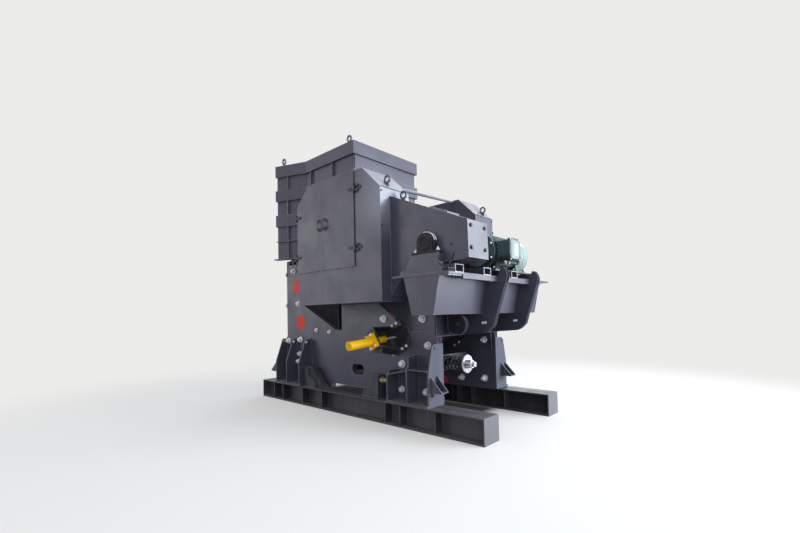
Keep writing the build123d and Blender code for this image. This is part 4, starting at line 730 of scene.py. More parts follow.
# A further web stiffener on each side of the beams under the front feet, with clipped corners
stiffenerLook = dict(x=-2.042, thickness=0.016, outer=1.150, web=0.988, webInside=0.972, low=0.0205,
                     high=0.3365, clip=0.022)
clip, high, low = stiffenerLook["clip"], stiffenerLook["high"], stiffenerLook["low"]
reach = stiffenerLook["outer"] - stiffenerLook["web"]
plateShape = slabPart([(0.0, low + clip), (clip, low), (reach, low), (reach, high), (clip, high),
                       (0.0, high - clip)], stiffenerLook["thickness"])
start = stiffenerLook["x"] - stiffenerLook["thickness"] / 2
parts = [setAt(plateShape, (start + stiffenerLook["thickness"], -stiffenerLook["web"], 0.0), nearOut),
         setAt(plateShape, (start, -stiffenerLook["webInside"], 0.0), farOut)]
makePiece("beam_stiffeners", bothSides(parts), "beamPaint")

# Buffer bolts between the stoppers and the feet: nuts and a threaded run over the plain round bar
bufferLook = dict(y=-1.000, z=0.655, radius=0.0357, start=0.764, length=0.282, pitch=0.008,
                  nuts=(0.800, 1.012), nut=(0.098, 0.036))
thread = studPart(bufferLook["radius"], bufferLook["length"], pitch=bufferLook["pitch"], segments=28)
parts = placeMany(thread, [(bufferLook["start"], bufferLook["y"], bufferLook["z"])], rearOut)
nutPlaces = [(x, bufferLook["y"], bufferLook["z"]) for x in bufferLook["nuts"]]
parts += placeMany(hexPart(*bufferLook["nut"]), nutPlaces, rearOut, turn=0.3)
makePiece("buffer_bolts", bothSides(parts), "brassZinc")
print("marks and small fasteners made")

# Round-wire spring in place of the plain coil, with flat closed ends
springLook = dict(start=1.372, end=1.788, radius=0.110, wire=0.0165, turns=6, stepsPerTurn=40, flat=0.08,
                  height=0.880)
radius, wire = springLook["radius"], springLook["wire"]
share = np.linspace(0.0, 1.0, springLook["stepsPerTurn"] * springLook["turns"])
turnAngle = share * springLook["turns"] * 2 * np.pi
climb = np.clip((share - springLook["flat"]) / (1 - 2 * springLook["flat"]), 0.0, 1.0)
coilPath = np.stack([
    springLook["start"] + wire + (springLook["end"] - springLook["start"] - 2 * wire) * climb,
    radius * np.cos(turnAngle), springLook["height"] + radius * np.sin(turnAngle)], -1)
coil = makePiece("tension_coil", [tubePart(coilPath, wire, 14, rearOut)], "springPaint")
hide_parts("tension_spring")

# Thread, second nut and rod end behind the tension rod's nut, and a chamfered rim for its washer
rodLook = dict(height=0.880, thread=1.884, threadRadius=0.0432, threadLength=0.070, lockNut=1.885,
               threadPitch=0.006, washer=1.790, nut=1.816, nutFlats=0.129, nutHeight=0.068, nutChamfer=0.1)
thread = studPart(rodLook["threadRadius"], rodLook["threadLength"], pitch=rodLook["threadPitch"],
                  segments=32)
lockNut = ringPart([(0.043, 0.0), (0.066, 0.0), (0.066, 0.018), (0.062, 0.022), (0.043, 0.022)], 32)
washerRim = ringPart([(0.148, 0.001), (0.1515, 0.004), (0.1515, 0.020), (0.148, 0.0235)], 64)
hexNut = hexPart(rodLook["nutFlats"], rodLook["nutHeight"], rodLook["nutChamfer"], 36)
parts = []
for part, key, spin in ((thread, "thread", 0.0), (lockNut, "lockNut", 0.0), (washerRim, "washer", 0.0),
                        (hexNut, "nut", 0.3)):
    parts += placeMany(part, [(rodLook[key], 0.0, rodLook["height"])], rearOut, spin=spin)
makePiece("tension_rod_nuts", parts, "zincSteel")
print("tension rod and spring made")

# Hydraulic cylinder: flange screws, port boss, gland ring and end ring
cylinderLook = dict(base=(0.947, -1.305, 1.315), tilt=5.0, along=(0.8749, 0.0, 0.4842), face=0.0732,
                    length=0.445, glandOut=0.01, portOut=0.055, portRise=0.060, endIn=0.004,
                    screws=[(a, b) for b in (-0.092, 0.092) for a in (-0.062, 0.062)])
tilt = math.radians(cylinderLook["tilt"])
outward = np.array([0.0, -math.cos(tilt), -math.sin(tilt)])
slotX = np.array(cylinderLook["along"])
slotY = np.cross(outward, slotX)
portUp = unit(slotY)
face = np.array(cylinderLook["base"]) + outward * cylinderLook["face"]
tip = face + outward * cylinderLook["length"]
screw = joinParts([turnedPart([(0.015, -0.002), (0.015, 0.014), (0.013, 0.017)], 24),
                   ringPart([(0.018, 0.0), (0.024, 0.0), (0.024, 0.003), (0.018, 0.003)], 24)])
parts = placeMany(screw, [face + slotX * a + slotY * b for a, b in cylinderLook["screws"]], outward)
makePiece("cylinder_screws", bothSides(parts), "zincSteel")
port = joinParts([turnedPart([(0.026, 0.0), (0.026, 0.026), (0.022, 0.03)], 24),
                  raised(hexPart(0.03, 0.014), 0.03)])
gland = ringPart([(0.062, -0.008), (0.0725, -0.008), (0.0725, 0.022), (0.068, 0.026), (0.062, 0.026)], 40)
endRing = ringPart([(0.040, 0.0), (0.070, 0.0), (0.070, 0.003), (0.064, 0.006), (0.044, 0.006),
                    (0.040, 0.002)], 40)
parts = placeMany(gland, [face + outward * cylinderLook["glandOut"]], outward)
portPlace = face + outward * cylinderLook["portOut"] + portUp * cylinderLook["portRise"]
parts += placeMany(port, [portPlace], portUp)
parts += placeMany(endRing, [tip - outward * cylinderLook["endIn"]], outward)
makePiece("cylinder_fittings", bothSides(parts), "yellowPaint")
print("cylinder fittings made")

# Hinges: a body-side plate with screws at each level, and straps with screws that ride on the doors
hingeLook = dict(levels=dict(rear=(2.784, 3.705), front=(2.781, 3.496)), pin=dict(rear=0.857, front=-0.752),
                 inward=dict(rear=-1, front=1), pinY=-1.598, barrel=0.060, plate=(0.966, -1.5715),
                 screws=(0.942, 0.990), screwY=-1.5795, strap=0.072, strapY=-1.602,
                 strapScrews=(0.045, 0.105), strapScrewY=-1.606)
screwHead = turnedPart([(0.011, 0.0), (0.011, 0.004), (0.007, 0.008)], 16)
finial = turnedPart([(0.012, 0.0), (0.013, 0.006), (0.009, 0.014), (0.004, 0.017)], 16)
bodyPlate = slabPart(roundedBox(0.092, 0.052, 0.012), 0.008)
strap = slabPart(roundedBox(0.120, 0.046, 0.014), 0.004)
parts, screws = [], []
for level in hingeLook["levels"]["rear"]:
    parts.append(setAt(bodyPlate, (*hingeLook["plate"], level)))
    screws += placeMany(screwHead, [(x, hingeLook["screwY"], level) for x in hingeLook["screws"]], nearOut)
    for sign, axis in ((1, upOut), (-1, downOut)):
        tipPlace = (hingeLook["pin"]["rear"], hingeLook["pinY"], level + sign * hingeLook["barrel"])
        parts += placeMany(finial, [tipPlace], axis)
makePiece("hinge_plates", parts, "blackPaint", bevelWidth=0.0015)
makePiece("hinge_plate_screws", screws, "blackPaint")
for leaf, inward in hingeLook["inward"].items():
    pinX = hingeLook["pin"][leaf]
    parts = []
    for level in hingeLook["levels"][leaf]:
        parts.append(setAt(strap, (pinX + inward * hingeLook["strap"], hingeLook["strapY"], level)))
        parts += placeMany(screwHead, [(pinX + inward * x, hingeLook["strapScrewY"], level)
                                       for x in hingeLook["strapScrews"]], nearOut)
    makePiece(f"hinge_straps_{leaf}", parts, "blackPaint", f"door_{leaf}", bevelWidth=0.001)
print("hinges made")

# Door furniture: round pull handles over the plain bars, a hasp and a slanted latch bar
doorLook = dict(y=-1.590, footY=-1.592, pullY=-1.632, handles=dict(front=-0.055, rear=0.095),
                outward=dict(front=-1, rear=1), low=3.175, high=3.355,
                pullRadius=0.0095, hasps=((0.052, 0.066, 3.315), (0.040, 0.052, 3.205)), haspThick=0.006,
                latch=[(0.072, -1.597, 3.236), (0.160, -1.597, 3.208), (0.183, -1.604, 3.200)],
                latchRadius=0.007, knob=(0.175, -1.590, 3.203))
rosette = turnedPart([(0.022, 0.0), (0.022, 0.004), (0.014, 0.008)], 20)
hasp = slabPart(roundedBox(0.060, 0.030, 0.008), doorLook["haspThick"])
for leaf, x in doorLook["handles"].items():
    y, low, high = doorLook["y"], doorLook["low"], doorLook["high"]
    pull = roundedPath([(x, doorLook["footY"], low), (x, doorLook["pullY"], low),
                        (x, doorLook["pullY"], high), (x, doorLook["footY"], high)], 48, 3)
    parts = [tubePart(pull, doorLook["pullRadius"], 12, rearOut)]
    parts += placeMany(rosette, [(x, y, low), (x, y, high)], nearOut)
    side = doorLook["outward"][leaf]
    parts += [setAt(hasp, (x + side * middleX, y, z)) for middleX, screwX, z in doorLook["hasps"]]
    parts += placeMany(screwHead, [(x + side * screwX, y - doorLook["haspThick"], z)
                                   for middleX, screwX, z in doorLook["hasps"]], nearOut)
    makePiece(f"door_furniture_{leaf}", parts, "fittingPaint", f"door_{leaf}")
latch = roundedPath(doorLook["latch"], 16, 1)
knob = turnedPart([(0.010, 0.0), (0.014, 0.004), (0.014, 0.012), (0.008, 0.018)], 16)
parts = [tubePart(latch, doorLook["latchRadius"], 10, rearOut)] + placeMany(knob, [doorLook["knob"]], nearOut)
makePiece("door_latch", parts, "fittingPaint", "door_rear")
print("door furniture made")

# Split bearing: end cover, two pale straps over the dome, grease nipple and foot bolts
driveAxis = (2.170, 2.690)
bearingLook = dict(y=-1.488, coverThick=0.010, coverBolt=(0.02, 0.006), coverCircle=(0.094, 6, 0.3),
                   strap=0.1505, strapHalf=0.004, strapWidth=0.016, strapFrom=0.18,
                   strapY=(-1.4345, -1.3945), nipple=(2.180, -1.434, 2.839),
                   feet=atY(-1.434, [(1.975, 2.569), (2.366, 2.569)]),
                   footBolt=dict(washer=0.03, washerThick=0.005, flats=0.041, head=0.026, stud=0.013,
                                 studLength=0.020))
cover = ringPart([(0.064, 0.0), (0.112, 0.0), (0.112, 0.006), (0.106, 0.010), (0.070, 0.010), (0.064, 0.006)],
                 40)
nipple = turnedPart([(0.012, -0.004), (0.012, 0.010), (0.006, 0.016), (0.006, 0.028), (0.009, 0.032),
                     (0.005, 0.040)], 16)
parts = placeMany(cover, atY(bearingLook["y"], [driveAxis]), nearOut)
coverBolts = circleAtY(driveAxis, bearingLook["y"] - bearingLook["coverThick"], *bearingLook["coverCircle"])
parts += placeMany(hexPart(*bearingLook["coverBolt"]), coverBolts, nearOut, turn=0.4)
parts += placeMany(nipple, [bearingLook["nipple"]], upOut)
makePiece("bearing_cover", parts, "castBlack")
strapMiddle, strapHalf, strapFrom = (bearingLook[k] for k in ("strap", "strapHalf", "strapFrom"))
strap = arcBand(strapMiddle - strapHalf, strapMiddle + strapHalf, bearingLook["strapWidth"], strapFrom,
                math.pi - strapFrom)
makePiece("bearing_straps", [setAt(strap, (driveAxis[0], y, driveAxis[1])) for y in bearingLook["strapY"]],
          "zincSteel")
makePiece("bearing_bolts", placeMany(boltPart(bearingLook["footBolt"]), bearingLook["feet"], upOut, turn=0.5),
          "zincSteel")
bracket = slabPart([(0.0, -0.120), (0.022, -0.150), (0.034, -0.150), (0.012, -0.115), (0.012, 0.0),
                    (0.0, 0.0)], 0.030)
parts = [setAt(bracket, (2.398, -1.462, 2.548))] + placeMany(tinyBolt, [(2.410, -1.477, 2.500)], rearOut)
makePiece("pedestal_bracket", parts, "slatePaint", bevelWidth=0.002)
brace = roundedPath(atY(-1.381, [(2.574, 2.535), (2.570, 2.515), (2.490, 2.345), (2.486, 2.322)]), 24, 2)
makePiece("belt_guard_brace", [tubePart(brace, 0.009, 10, farOut)], "slatePaint")
print("bearing made")

# Belt guard: cover plate with turned edges on the slope, held by screws
topLook = dict(slope=-0.4203, start=1.420, topZ=3.510, front=2.150, rear=2.420, near=-1.300, far=-1.000,
               rise=0.020, screws=[(a, b) for a in (-0.12, 0.12) for b in (-0.12, 0.12)])
down = unit([1.0, 0.0, topLook["slope"]])
up = np.cross(down, farOut)
plateSize = (topLook["rear"] - topLook["front"]) / down[0], topLook["far"] - topLook["near"]
plate = slabPart(roundedBox(*plateSize, 0.02), topLook["rise"])
middleX = (topLook["front"] + topLook["rear"]) / 2
middle = np.array([middleX, (topLook["near"] + topLook["far"]) / 2,
                   topLook["topZ"] + (middleX - topLook["start"]) * topLook["slope"]])
makePiece("belt_guard_cover", [setAt(plate, middle, down, farOut)], "litSlatePaint", bevelWidth=0.003)
screwPlaces = [middle + down * a + np.array([0.0, b, 0.0]) + up * topLook["rise"]
               for a, b in topLook["screws"]]
makePiece("belt_guard_cover_screws", placeMany(guardScrew, screwPlaces, up, turn=0.4), "blackPaint")

# Motor: flange and shield rings, bolts, lifting eye, feet bolts and the jack screws on its rails
motorLook = dict(front=-0.200, shieldY=0.662, cowlRingY=0.800, cowlEnd=1.000, eye=(2.170, 0.285, 2.996),
                 eyeRing=(0.034, 0.009), eyeRise=0.052, flangeCircle=(0.290, 8, math.pi / 8), foot=0.254,
                 feet=(-0.1075, 0.0575, 0.5225, 0.6875), footZ=2.426, railZ=2.400,
                 jackZ=2.420, lugY=0.820, jack=(0.702, 0.872),
                 jackRadius=0.010, grilleOut=0.004, wire=0.004, hoops=(0.050, 0.235, 7),
                 spoke=(0.03, 0.14, 0.245), spokes=6,
                 jackNuts=((0.034, 0.018, 0.822), (0.030, 0.016, 0.866)),
                 flangeBolt=dict(washer=0.019, washerThick=0.003, flats=0.027, head=0.014, stud=0.008,
                                 studLength=0.006),
                 footNut=dict(washer=0.0124, washerThick=0.003, flats=0.022, head=0.015, stud=0.007,
                              studLength=0.010))
mx, mz = driveAxis
parts = placeMany(ringPart([(0.118, 0.0), (0.235, 0.0), (0.235, 0.010), (0.225, 0.016), (0.150, 0.016),
                            (0.118, 0.008)], 56), [(mx, motorLook["front"], mz)], nearOut)
parts += placeMany(ringPart([(0.280, 0.0), (0.307, 0.0), (0.309, 0.004), (0.309, 0.040), (0.280, 0.040)], 72),
                   [(mx, motorLook["shieldY"], mz)], farOut)
parts += placeMany(ringPart([(0.296, 0.0), (0.301, 0.002), (0.301, 0.010), (0.296, 0.012)], 72),
                   [(mx, motorLook["cowlRingY"], mz)], farOut)
circle = np.linspace(0, 2 * np.pi, 17)[:-1]
eyeRadius, eyeWire = motorLook["eyeRing"]
torus = ringPart(np.stack([eyeRadius + eyeWire * np.cos(circle), eyeWire * np.sin(circle)], -1), 32)
eyeX, eyeY, eyeZ = motorLook["eye"]
parts += placeMany(turnedPart([(0.030, -0.006), (0.030, 0.008), (0.014, 0.016)], 24), [motorLook["eye"]],
                   upOut)
parts += placeMany(torus, [(eyeX, eyeY, eyeZ + motorLook["eyeRise"])], rearOut)
makePiece("motor_rings", parts, "tealPaint")
parts = placeMany(boltPart(motorLook["flangeBolt"]),
                  circleAtY(driveAxis, motorLook["front"], *motorLook["flangeCircle"]), nearOut, turn=0.5)
railX = [mx - motorLook["foot"], mx + motorLook["foot"]]
feet = [(x, y, motorLook["footZ"]) for x in railX for y in motorLook["feet"]]
parts += placeMany(boltPart(motorLook["footNut"]), feet, upOut, turn=0.7)
jackPath = np.linspace(*motorLook["jack"], 12)
for x in railX:
    parts.append(tubePart([(x, y, motorLook["jackZ"]) for y in jackPath], motorLook["jackRadius"], 14))
    for flats, height, y in motorLook["jackNuts"]:
        parts += placeMany(hexPart(flats, height), [(x, y, motorLook["jackZ"])], farOut)
makePiece("motor_bolts", parts, "zincSteel")
lug = slabPart([(-0.045, 0.0), (0.045, 0.0), (0.035, 0.046), (-0.035, 0.046)], 0.020)
makePiece("motor_jack_lugs", [setAt(lug, (x, motorLook["lugY"], motorLook["railZ"])) for x in railX],
          "slatePaint", bevelWidth=0.002)
grilleY, wire = motorLook["cowlEnd"] + motorLook["grilleOut"], motorLook["wire"]
parts = []
for hoop in np.linspace(*motorLook["hoops"]):
    wireRing = np.stack([hoop + wire * np.cos(circle[::2]), wire * np.sin(circle[::2])], -1)
    parts += placeMany(ringPart(wireRing, 40), [(mx, grilleY, mz)], farOut)
for a in np.arange(motorLook["spokes"]) * 2 * math.pi / motorLook["spokes"]:
    spoke = atY(grilleY, [(mx + r * math.cos(a), mz + r * math.sin(a)) for r in motorLook["spoke"]])
    parts.append(tubePart(spoke, wire, 8, farOut))
cowlEnd = [(mx, motorLook["cowlEnd"], mz)]
parts += placeMany(turnedPart([(0.042, 0.0), (0.042, 0.007), (0.036, 0.010)], 32), cowlEnd, farOut)
makePiece("motor_grille", parts, "cowlPaint")
# black disc behind the grille: painted shade inside the fan cowl
makePiece("motor_grille_shade", placeMany(turnedPart([(0.252, -0.002), (0.252, 0.001)], 64), cowlEnd, farOut),
          "blackPaint")
print("motor details made")

# Terminal box: pale lid with screws, bare plate, glands below
lidLook = dict(x=2.700, y=0.068, z=2.693, thickness=0.006, plateY=0.098, screws=(0.140, 0.155),
               glands=[(2.560, 0.010, 2.536), (2.560, 0.126, 2.536)])
lid = slabPart(roundedBox(0.262, 0.292, 0.026), lidLook["thickness"])
makePiece("terminal_lid", [setAt(lid, (lidLook["x"], lidLook["y"], lidLook["z"]), farOut)], "lidPaint",
          bevelWidth=0.0025)
bare = slabPart(roundedBox(0.135, 0.205, 0.010), 0.0015)
makePiece("terminal_bare_plate",
          [setAt(bare, (lidLook["x"] + lidLook["thickness"], lidLook["plateY"], lidLook["z"]), farOut)],
          "platePale")
places = [(lidLook["x"], lidLook["y"] + sy * lidLook["screws"][0], lidLook["z"] + sz * lidLook["screws"][1])
          for sy in (-1, 1) for sz in (-1, 1)]
parts = placeMany(turnedPart([(0.011, 0.0), (0.011, 0.004), (0.006, 0.007)], 16), places, rearOut)
glandEnd = turnedPart([(0.019, 0.018), (0.019, 0.040), (0.013, 0.046), (0.013, 0.05)], 24)
gland = joinParts([hexPart(0.044, 0.02), glandEnd])
parts += placeMany(gland, lidLook["glands"], downOut)
makePiece("terminal_screws_glands", parts, "zincSteel")

# Coupling between jackshaft and motor: bolts in the near face and a rubber ring between the halves
couplingLook = dict(faceY=-0.700, ringY=-0.537, circle=(0.112, 8))
pin = joinParts([turnedPart([(0.017, 0.0), (0.017, 0.004)], 20), raised(hexPart(0.026, 0.014), 0.004)])
pins = circleAtY(driveAxis, couplingLook["faceY"], *couplingLook["circle"])
makePiece("coupling_bolts", placeMany(pin, pins, nearOut, turn=0.3), "zincSteel")
rubberRing = ringPart([(0.140, 0.0), (0.1525, 0.002), (0.1525, 0.012), (0.140, 0.014)], 56)
makePiece("coupling_ring", placeMany(rubberRing, atY(couplingLook["ringY"], [driveAxis]), farOut),
          "beltRubber")
print("coupling made")

# Shaft ends and bearings behind the doors: clamping ring with screws, bearing covers with bolts
shaftLook = dict(axis=(0.310, 2.930), hubY=-1.370, screwY=-1.376, ring=(0.156, 0.226), cover=(0.205, 0.372),
                 coverY=-0.940, boltY=-0.960, screwCircle=(0.19, 16), boltCircle=(0.34, 12),
                 bolt=dict(washer=0.022, washerThick=0.003, flats=0.032, head=0.016))
inner, outer = shaftLook["ring"]
ring = ringPart([(inner, 0.0), (outer, 0.0), (outer, 0.004), (outer - 0.004, 0.006), (inner, 0.006)], 64)
parts = placeMany(ring, atY(shaftLook["hubY"], [shaftLook["axis"]]), nearOut)
parts += placeMany(turnedPart([(0.011, 0.0), (0.011, 0.002)], 16),
                   circleAtY(shaftLook["axis"], shaftLook["screwY"], *shaftLook["screwCircle"]), nearOut)
makePiece("shaft_clamp_rings", bothSides(parts), "machinedSteel")
inner, outer = shaftLook["cover"]
cover = ringPart([(inner, 0.0), (outer, 0.0), (outer, 0.014), (outer - 0.006, 0.020), (inner + 0.02, 0.020),
                  (inner, 0.012)], 72)
covers = placeMany(cover, atY(shaftLook["coverY"], [shaftLook["axis"]]), nearOut)
makePiece("bearing_covers", bothSides(covers), "slatePaint")
coverBolts = placeMany(boltPart(shaftLook["bolt"]),
                       circleAtY(shaftLook["axis"], shaftLook["boltY"], *shaftLook["boltCircle"]),
                       nearOut, turn=0.4)
makePiece("bearing_cover_bolts", bothSides(coverBolts), "zincSteel")

# Arms: paired bolts near the lower end; painted ones are in the lug and the rear foot's end plate
armLook = dict(bolt=dict(washer=0.022, washerThick=0.004, flats=0.030, head=0.020, stud=0.010,
                         studLength=0.010),
               places=atY(-0.275, [(2.302, 1.572), (2.347, 1.576)])
               + atY(0.760, [(2.285, 1.579), (2.325, 1.583)]),
               lug=[(2.091, -0.635, 1.571)], endPlate=[(1.895, -1.050, 0.530)])
makePiece("arm_bolts", placeMany(boltPart(armLook["bolt"]), armLook["places"], nearOut, turn=0.6),
          "zincSteel")
parts = placeMany(smallBolt, armLook["lug"], nearOut, spin=0.4)
parts += placeMany(tinyBolt, armLook["endPlate"], rearOut)
makePiece("painted_bolts", parts, "castBlack")

# Rubber seals on the backs of the doors
sealLook = dict(y=-1.581, inset=0.049, radius=0.0045, steps=24, corners=dict(
    front=[(-0.733, 2.493), (0.016, 2.493), (0.016, 3.993), (-0.394, 3.993), (-0.733, 3.697)],
    rear=[(0.024, 2.493), (0.839, 2.493), (0.839, 3.993), (0.024, 3.993)]))
for leaf, corners in sealLook["corners"].items():
    corners = np.array(corners)
    inward = corners.mean(0) - corners
    loop = corners + inward / np.linalg.norm(inward, axis=1, keepdims=True) * sealLook["inset"]
    parts = []
    for start, end in zip(loop, np.roll(loop, -1, axis=0)):
        line = atY(sealLook["y"], np.linspace(start, end, sealLook["steps"]))
        parts.append(tubePart(line, sealLook["radius"], 8, farOut))
    makePiece(f"door_seal_{leaf}", parts, "beltRubber", f"door_{leaf}")
print("bearings, arms and seals made")

# Weld beads: a rippled tube along each joint of two plates, half sunk into the corner
weldLook = dict(radius=0.0065, step=0.006, ripple=0.22, scatter=0.06, seed=11, gussetHalf=0.0125,
                webHalf=0.008, armHalf=0.038, ribSides=(-0.001, 0.017))
weldRandom = np.random.default_rng(weldLook["seed"])


def weldBead(start, end):
    start, end = np.asarray(start, float), np.asarray(end, float)
    length = np.linalg.norm(end - start)
    count = max(4, int(length / weldLook["step"]))
    along = start + (end - start) * np.linspace(0.0, 1.0, count)[:, None]
    size = weldLook["radius"] * (1 + weldLook["ripple"] * np.where(np.arange(count) % 2, 0.5, -0.5)
                                 + weldLook["scatter"] * weldRandom.standard_normal(count))
    upright = abs((end - start)[2]) > 0.9 * length
    return tubePart(along, size, 6, rearOut if upright else upOut)


def weldLines(lines):
    return [weldBead(start, end) for start, end in lines]


def alongX(x0, x1, y, z):
    return (x0, y, z), (x1, y, z)


def alongY(x, y0, y1, z):
    return (x, y0, z), (x, y1, z)


def alongZ(x, y, z0, z1):
    return (x, y, z0), (x, y, z1)


footWelds = []
for gusset, top in ((-2.270, 1.255), (-1.880, 1.255), (-1.420, 1.255), (1.068, 0.845), (1.492, 1.085)):
    for x in (gusset - weldLook["gussetHalf"], gusset + weldLook["gussetHalf"]):
        footWelds += [alongZ(x, -0.905, 0.390, top), alongY(x, -0.910, -1.160, 0.387)]
footWelds += [alongX(-2.290, -1.350, -0.905, 0.388), alongX(1.075, 1.865, -0.905, 0.388),
              alongX(-2.290, -1.412, -0.882, 1.290), alongZ(-1.340, -0.882, 1.178, 0.392),
              alongX(-2.305, -1.385, -1.165, 0.357), alongX(1.040, 1.890, -1.166, 0.357),
              alongZ(1.869, -0.905, 0.392, 1.110), alongZ(1.869, -1.120, 0.368, 0.850),
              alongX(1.496, 1.866, -1.145, 0.893), atY(-1.145, [(1.075, 0.796), (1.486, 0.884)]),
              alongX(-1.375, -0.992, -1.074, 0.359), alongX(0.372, 0.755, -1.074, 0.359),
              atY(-1.050, [(-1.372, 0.735), (-1.128, 0.729)]), atY(-1.050, [(0.516, 0.729), (0.756, 0.733)])]
makePiece("foot_welds", bothSides(weldLines(footWelds)), "footPaint")
earWelds = []
for x, outer in ((-2.2825, -1.140), (1.895, -1.091)):
    earWelds += [alongZ(x, outer, 0.575, 0.808), alongZ(x, -0.930, 0.575, 0.808),
                 alongY(x, outer + 0.01, -0.935, 0.572)]
makePiece("ear_welds", bothSides(weldLines(earWelds)), "footPaint")
beamWelds = []
for stiffener in (-2.392, -1.326, -0.696, 0.993, 1.324, 2.016):
    for x in (stiffener - weldLook["webHalf"], stiffener + weldLook["webHalf"]):
        beamWelds += [alongY(x, -1.152, -0.990, 0.0215), alongY(x, -1.152, -0.990, 0.3355),
                      alongZ(x, -0.988, 0.024, 0.333), alongY(x, -0.808, -0.970, 0.0215),
                      alongZ(x, -0.972, 0.024, 0.333)]
for x in (-2.820, 2.820):
    beamWelds += [alongY(x, -1.160, -0.990, 0.0215), alongZ(x, -0.988, 0.024, 0.333),
                  alongY(x, -1.160, -0.990, 0.3355)]
makePiece("beam_welds", bothSides(weldLines(beamWelds)), "beamPaint")
bodyWelds = [alongX(-2.226, -0.030, -0.832, 2.951), alongY(1.8955, -0.905, 0.905, 1.388),
             alongX(1.789, 2.412, -1.4895, 2.243), atY(-1.4895, [(1.783, 2.240), (1.932, 1.718)]),
             atY(-1.4895, [(2.417, 2.240), (2.308, 1.718)]), alongX(1.932, 2.308, -1.4895, 1.7155),
             alongY(1.424, -0.952, -1.568, 3.622), atY(-0.882, [(-0.641, 1.465), (-0.404, 1.458)]),
             atY(-0.8805, [(0.700, 1.195), (0.735, 1.070)])]
nearWelds = [alongX(1.735, 2.575, -1.5005, 2.272), atY(-1.5005, [(1.790, 2.325), (1.904, 2.529)]),
             alongZ(1.425, -1.3705, 2.030, 3.500)]
makePiece("body_welds", bothSides(weldLines(bodyWelds)) + weldLines(nearWelds), "slatePaint")
armWelds = []
for arm in (-0.237, 0.798):
    for y in (arm - weldLook["armHalf"], arm + weldLook["armHalf"]):
        armWelds += [alongZ(1.897, y, 1.400, 1.712), alongX(2.308, 1.935, y, 1.7145)]
armWelds += [alongZ(1.897, y, 1.465, 1.700) for y in (-0.635, -0.565)]
makePiece("arm_welds", weldLines(armWelds), "slatePaint")
hopperWelds = [alongX(-1.515, -0.050, -0.832, 3.100)]
for rib, wall in ((-1.960, -1.002), (-1.364, -0.832), (-0.644, -0.832)):
    hopperWelds += [alongZ(rib + side, wall, 2.955, 3.315) for side in weldLook["ribSides"]]
makePiece("hopper_welds", bothSides(weldLines(hopperWelds)), "slatePaint")
print("welds made")

# Bolts that hold the hopper's foot flange, and the cheek plates' bolts seen from above
hopperFixing = dict(flange=[(x, -0.898, 2.950) for x in np.linspace(-1.45, -0.17, 6)],
                    cheek=atY(-0.740, [(-1.35, 2.62), (-0.78, 2.62), (-1.35, 1.95), (-0.98, 1.95),
                                       (-1.42, 1.25), (-1.22, 1.25)]))
makePiece("hopper_bolts", bothSides(placeMany(smallBolt, hopperFixing["flange"], upOut, turn=0.5)),
          "zincSteel")
cheekBolt = turnedPart([(0.036, -0.002), (0.036, 0.004), (0.026, 0.012), (0.014, 0.013)], 24)
makePiece("cheek_bolts", bothSides(placeMany(cheekBolt, hopperFixing["cheek"], farOut)), "jawSteel")
print("hopper and jaw fixings made")


# Floor, light and camera
def placeObject(name, data, place, right, up, back):
    # puts a camera or lamp at the place, with its own axes along the three given ones
    placed = bpy.data.objects.new(name, data)
    matrix = np.eye(4)
    matrix[:3, 0], matrix[:3, 1], matrix[:3, 2], matrix[:3, 3] = right, up, back, place
    placed.matrix_world = Matrix(matrix.tolist())
    bpy.context.scene.collection.objects.link(placed)
    return placed


cameraLook = dict(place=(5.709, -5.672, 1.731), azimuth=41.69, pitch=1.709, roll=-1.233, lens=18.34,
                  sensor=36.0, shift=(-0.0185, 0.0441), clipEnd=200.0)


def makeCamera(look):
    azimuth, pitch, roll = (math.radians(look[k]) for k in ("azimuth", "pitch", "roll"))
    forward = np.array([-math.sin(azimuth) * math.cos(pitch), math.cos(azimuth) * math.cos(pitch),
                        math.sin(pitch)])
    right = unit(np.cross(forward, upOut))
    up = np.cross(right, forward)
    data = bpy.data.cameras.new("photoCamera")
    data.lens = look["lens"]
    data.sensor_width = look["sensor"]
    data.sensor_fit = "HORIZONTAL"
    data.shift_x, data.shift_y = look["shift"]
    data.clip_end = look["clipEnd"]
    bpy.context.scene.camera = placeObject(
        "photoCamera", data, look["place"], right * math.cos(roll) + up * math.sin(roll),
        up * math.cos(roll) - right * math.sin(roll), -forward)


makeCamera(cameraLook)

backdropColor = (0.84, 0.835, 0.82)
# under: painted shadow on the floor beneath the machine
floorLook = dict(half=60.0, seen=(0.86, 0.855, 0.84), bounced=(0.3, 0.3, 0.31), fadeFrom=3.5, fadeTo=11.0,
                 glow=0.4, roughness=0.9, specular=0.1,
                 under=dict(x=(-2.3, 1.7), y=(0.0, 0.7), color=(0.05, 0.05, 0.055), soft=0.35, softY=0.3))


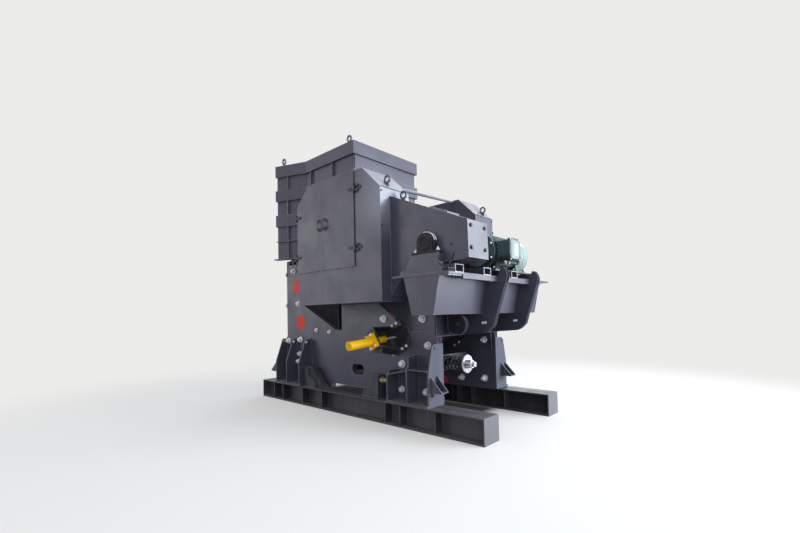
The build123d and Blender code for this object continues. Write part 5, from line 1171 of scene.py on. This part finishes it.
def makeFloor(look):
    # pale ground that darkens for bounced light, fades with distance into the backdrop's colour and carries a
    # painted shadow under the machine
    half = look["half"]
    mesh = bpy.data.meshes.new("floor")
    mesh.from_pydata([(-half, -half, 0.0), (half, -half, 0.0), (half, half, 0.0), (-half, half, 0.0)], [],
                     [(0, 1, 2, 3)])
    floor = bpy.data.objects.new("floor", mesh)
    bpy.context.scene.collection.objects.link(floor)
    material, tree, shader = newMaterial("floorPale")
    cameraRay = tree.nodes.new("ShaderNodeLightPath").outputs["Is Camera Ray"]
    under = zoneMask(tree, look["under"])
    seen = mixColor(tree, under, look["seen"], look["under"]["color"])
    tree.links.new(mixColor(tree, cameraRay, look["bounced"], seen), shader.inputs["Base Color"])
    setInputs(shader, Roughness=look["roughness"], Specular_IOR_Level=look["specular"])
    reach = addNode(tree, "ShaderNodeVectorMath", [(objectPlace(tree), 0)],
                    operation="LENGTH").outputs["Value"]
    far = rampNode(tree, reach, look["fadeFrom"], look["fadeTo"])
    glow = rampNode(tree, far, 0.0, 1.0, look["glow"], 1.0)
    haze = addNode(tree, "ShaderNodeEmission",
                   [(mixColor(tree, under, backdropColor, look["under"]["color"]), "Color")])
    mix = addNode(tree, "ShaderNodeMixShader", [(times(tree, glow, cameraRay), 0), (shader.outputs[0], 1),
                                                (haze.outputs[0], 2)])
    tree.links.new(mix.outputs[0], tree.nodes["Material Output"].inputs["Surface"])
    mesh.materials.append(material)


makeFloor(floorLook)

lightLooks = [
    dict(name="skySoft", place=(3.0, -1.0, 12.0), aim=(0, 0, 2), size=10.0, power=800.0,
         color=(0.95, 0.97, 1.0)),
    dict(name="rearPanel", place=(13.0, 7.0, 3.6), aim=(1, 0, 1.6), size=10.0, power=3800.0,
         color=(0.86, 0.93, 1.0)),
    dict(name="nearFill", place=(-10.0, -9.5, 3.4), aim=(0, 0, 1.8), size=9.0, power=330.0,
         color=(0.93, 0.93, 1.0)),
    dict(name="farSky", place=(-4.5, 15.0, 9.0), aim=(0.5, 0.5, 2.5), size=13.0, power=1300.0,
         color=(0.9, 0.94, 1.0)),
    dict(name="frontFill", place=(10.0, -10.5, 3.0), aim=(0, 0, 1.2), size=7.0, power=330.0,
         color=(0.9, 0.94, 1.0)),
]
for look in lightLooks:
    data = bpy.data.lights.new(look["name"], "AREA")
    data.shape = "SQUARE"
    data.size = look["size"]
    data.energy = look["power"]
    data.color = look["color"]
    back = unit(np.subtract(look["place"], look["aim"]))
    right = unit(np.cross(upOut, back))
    placeObject(look["name"], data, look["place"], right, np.cross(back, right), back)

worldLook = dict(color=(0.84, 0.88, 0.95), strength=0.34)


def makeWorld(look):
    # pale studio: the camera, gloss and glass see the plain backdrop, and a weaker sky lights the object
    world = bpy.data.worlds.new("studio")
    bpy.context.scene.world = world
    world.use_nodes = True
    tree = world.node_tree
    background = tree.nodes["Background"]
    setInputs(background, Color=(*look["color"], 1.0), Strength=look["strength"])
    seen = addNode(tree, "ShaderNodeBackground", Color=(*backdropColor, 1.0), Strength=1.0)
    path = tree.nodes.new("ShaderNodeLightPath").outputs
    mirrored = plus(tree, path["Is Glossy Ray"], path["Is Transmission Ray"], True)
    mix = addNode(tree, "ShaderNodeMixShader", [(plus(tree, path["Is Camera Ray"], mirrored, True), 0),
                                                (background.outputs[0], 1), (seen.outputs[0], 2)])
    tree.links.new(mix.outputs[0], tree.nodes["World Output"].inputs["Surface"])


makeWorld(worldLook)
bpy.context.scene.view_settings.view_transform = "Standard"
print("camera, floor and light set")
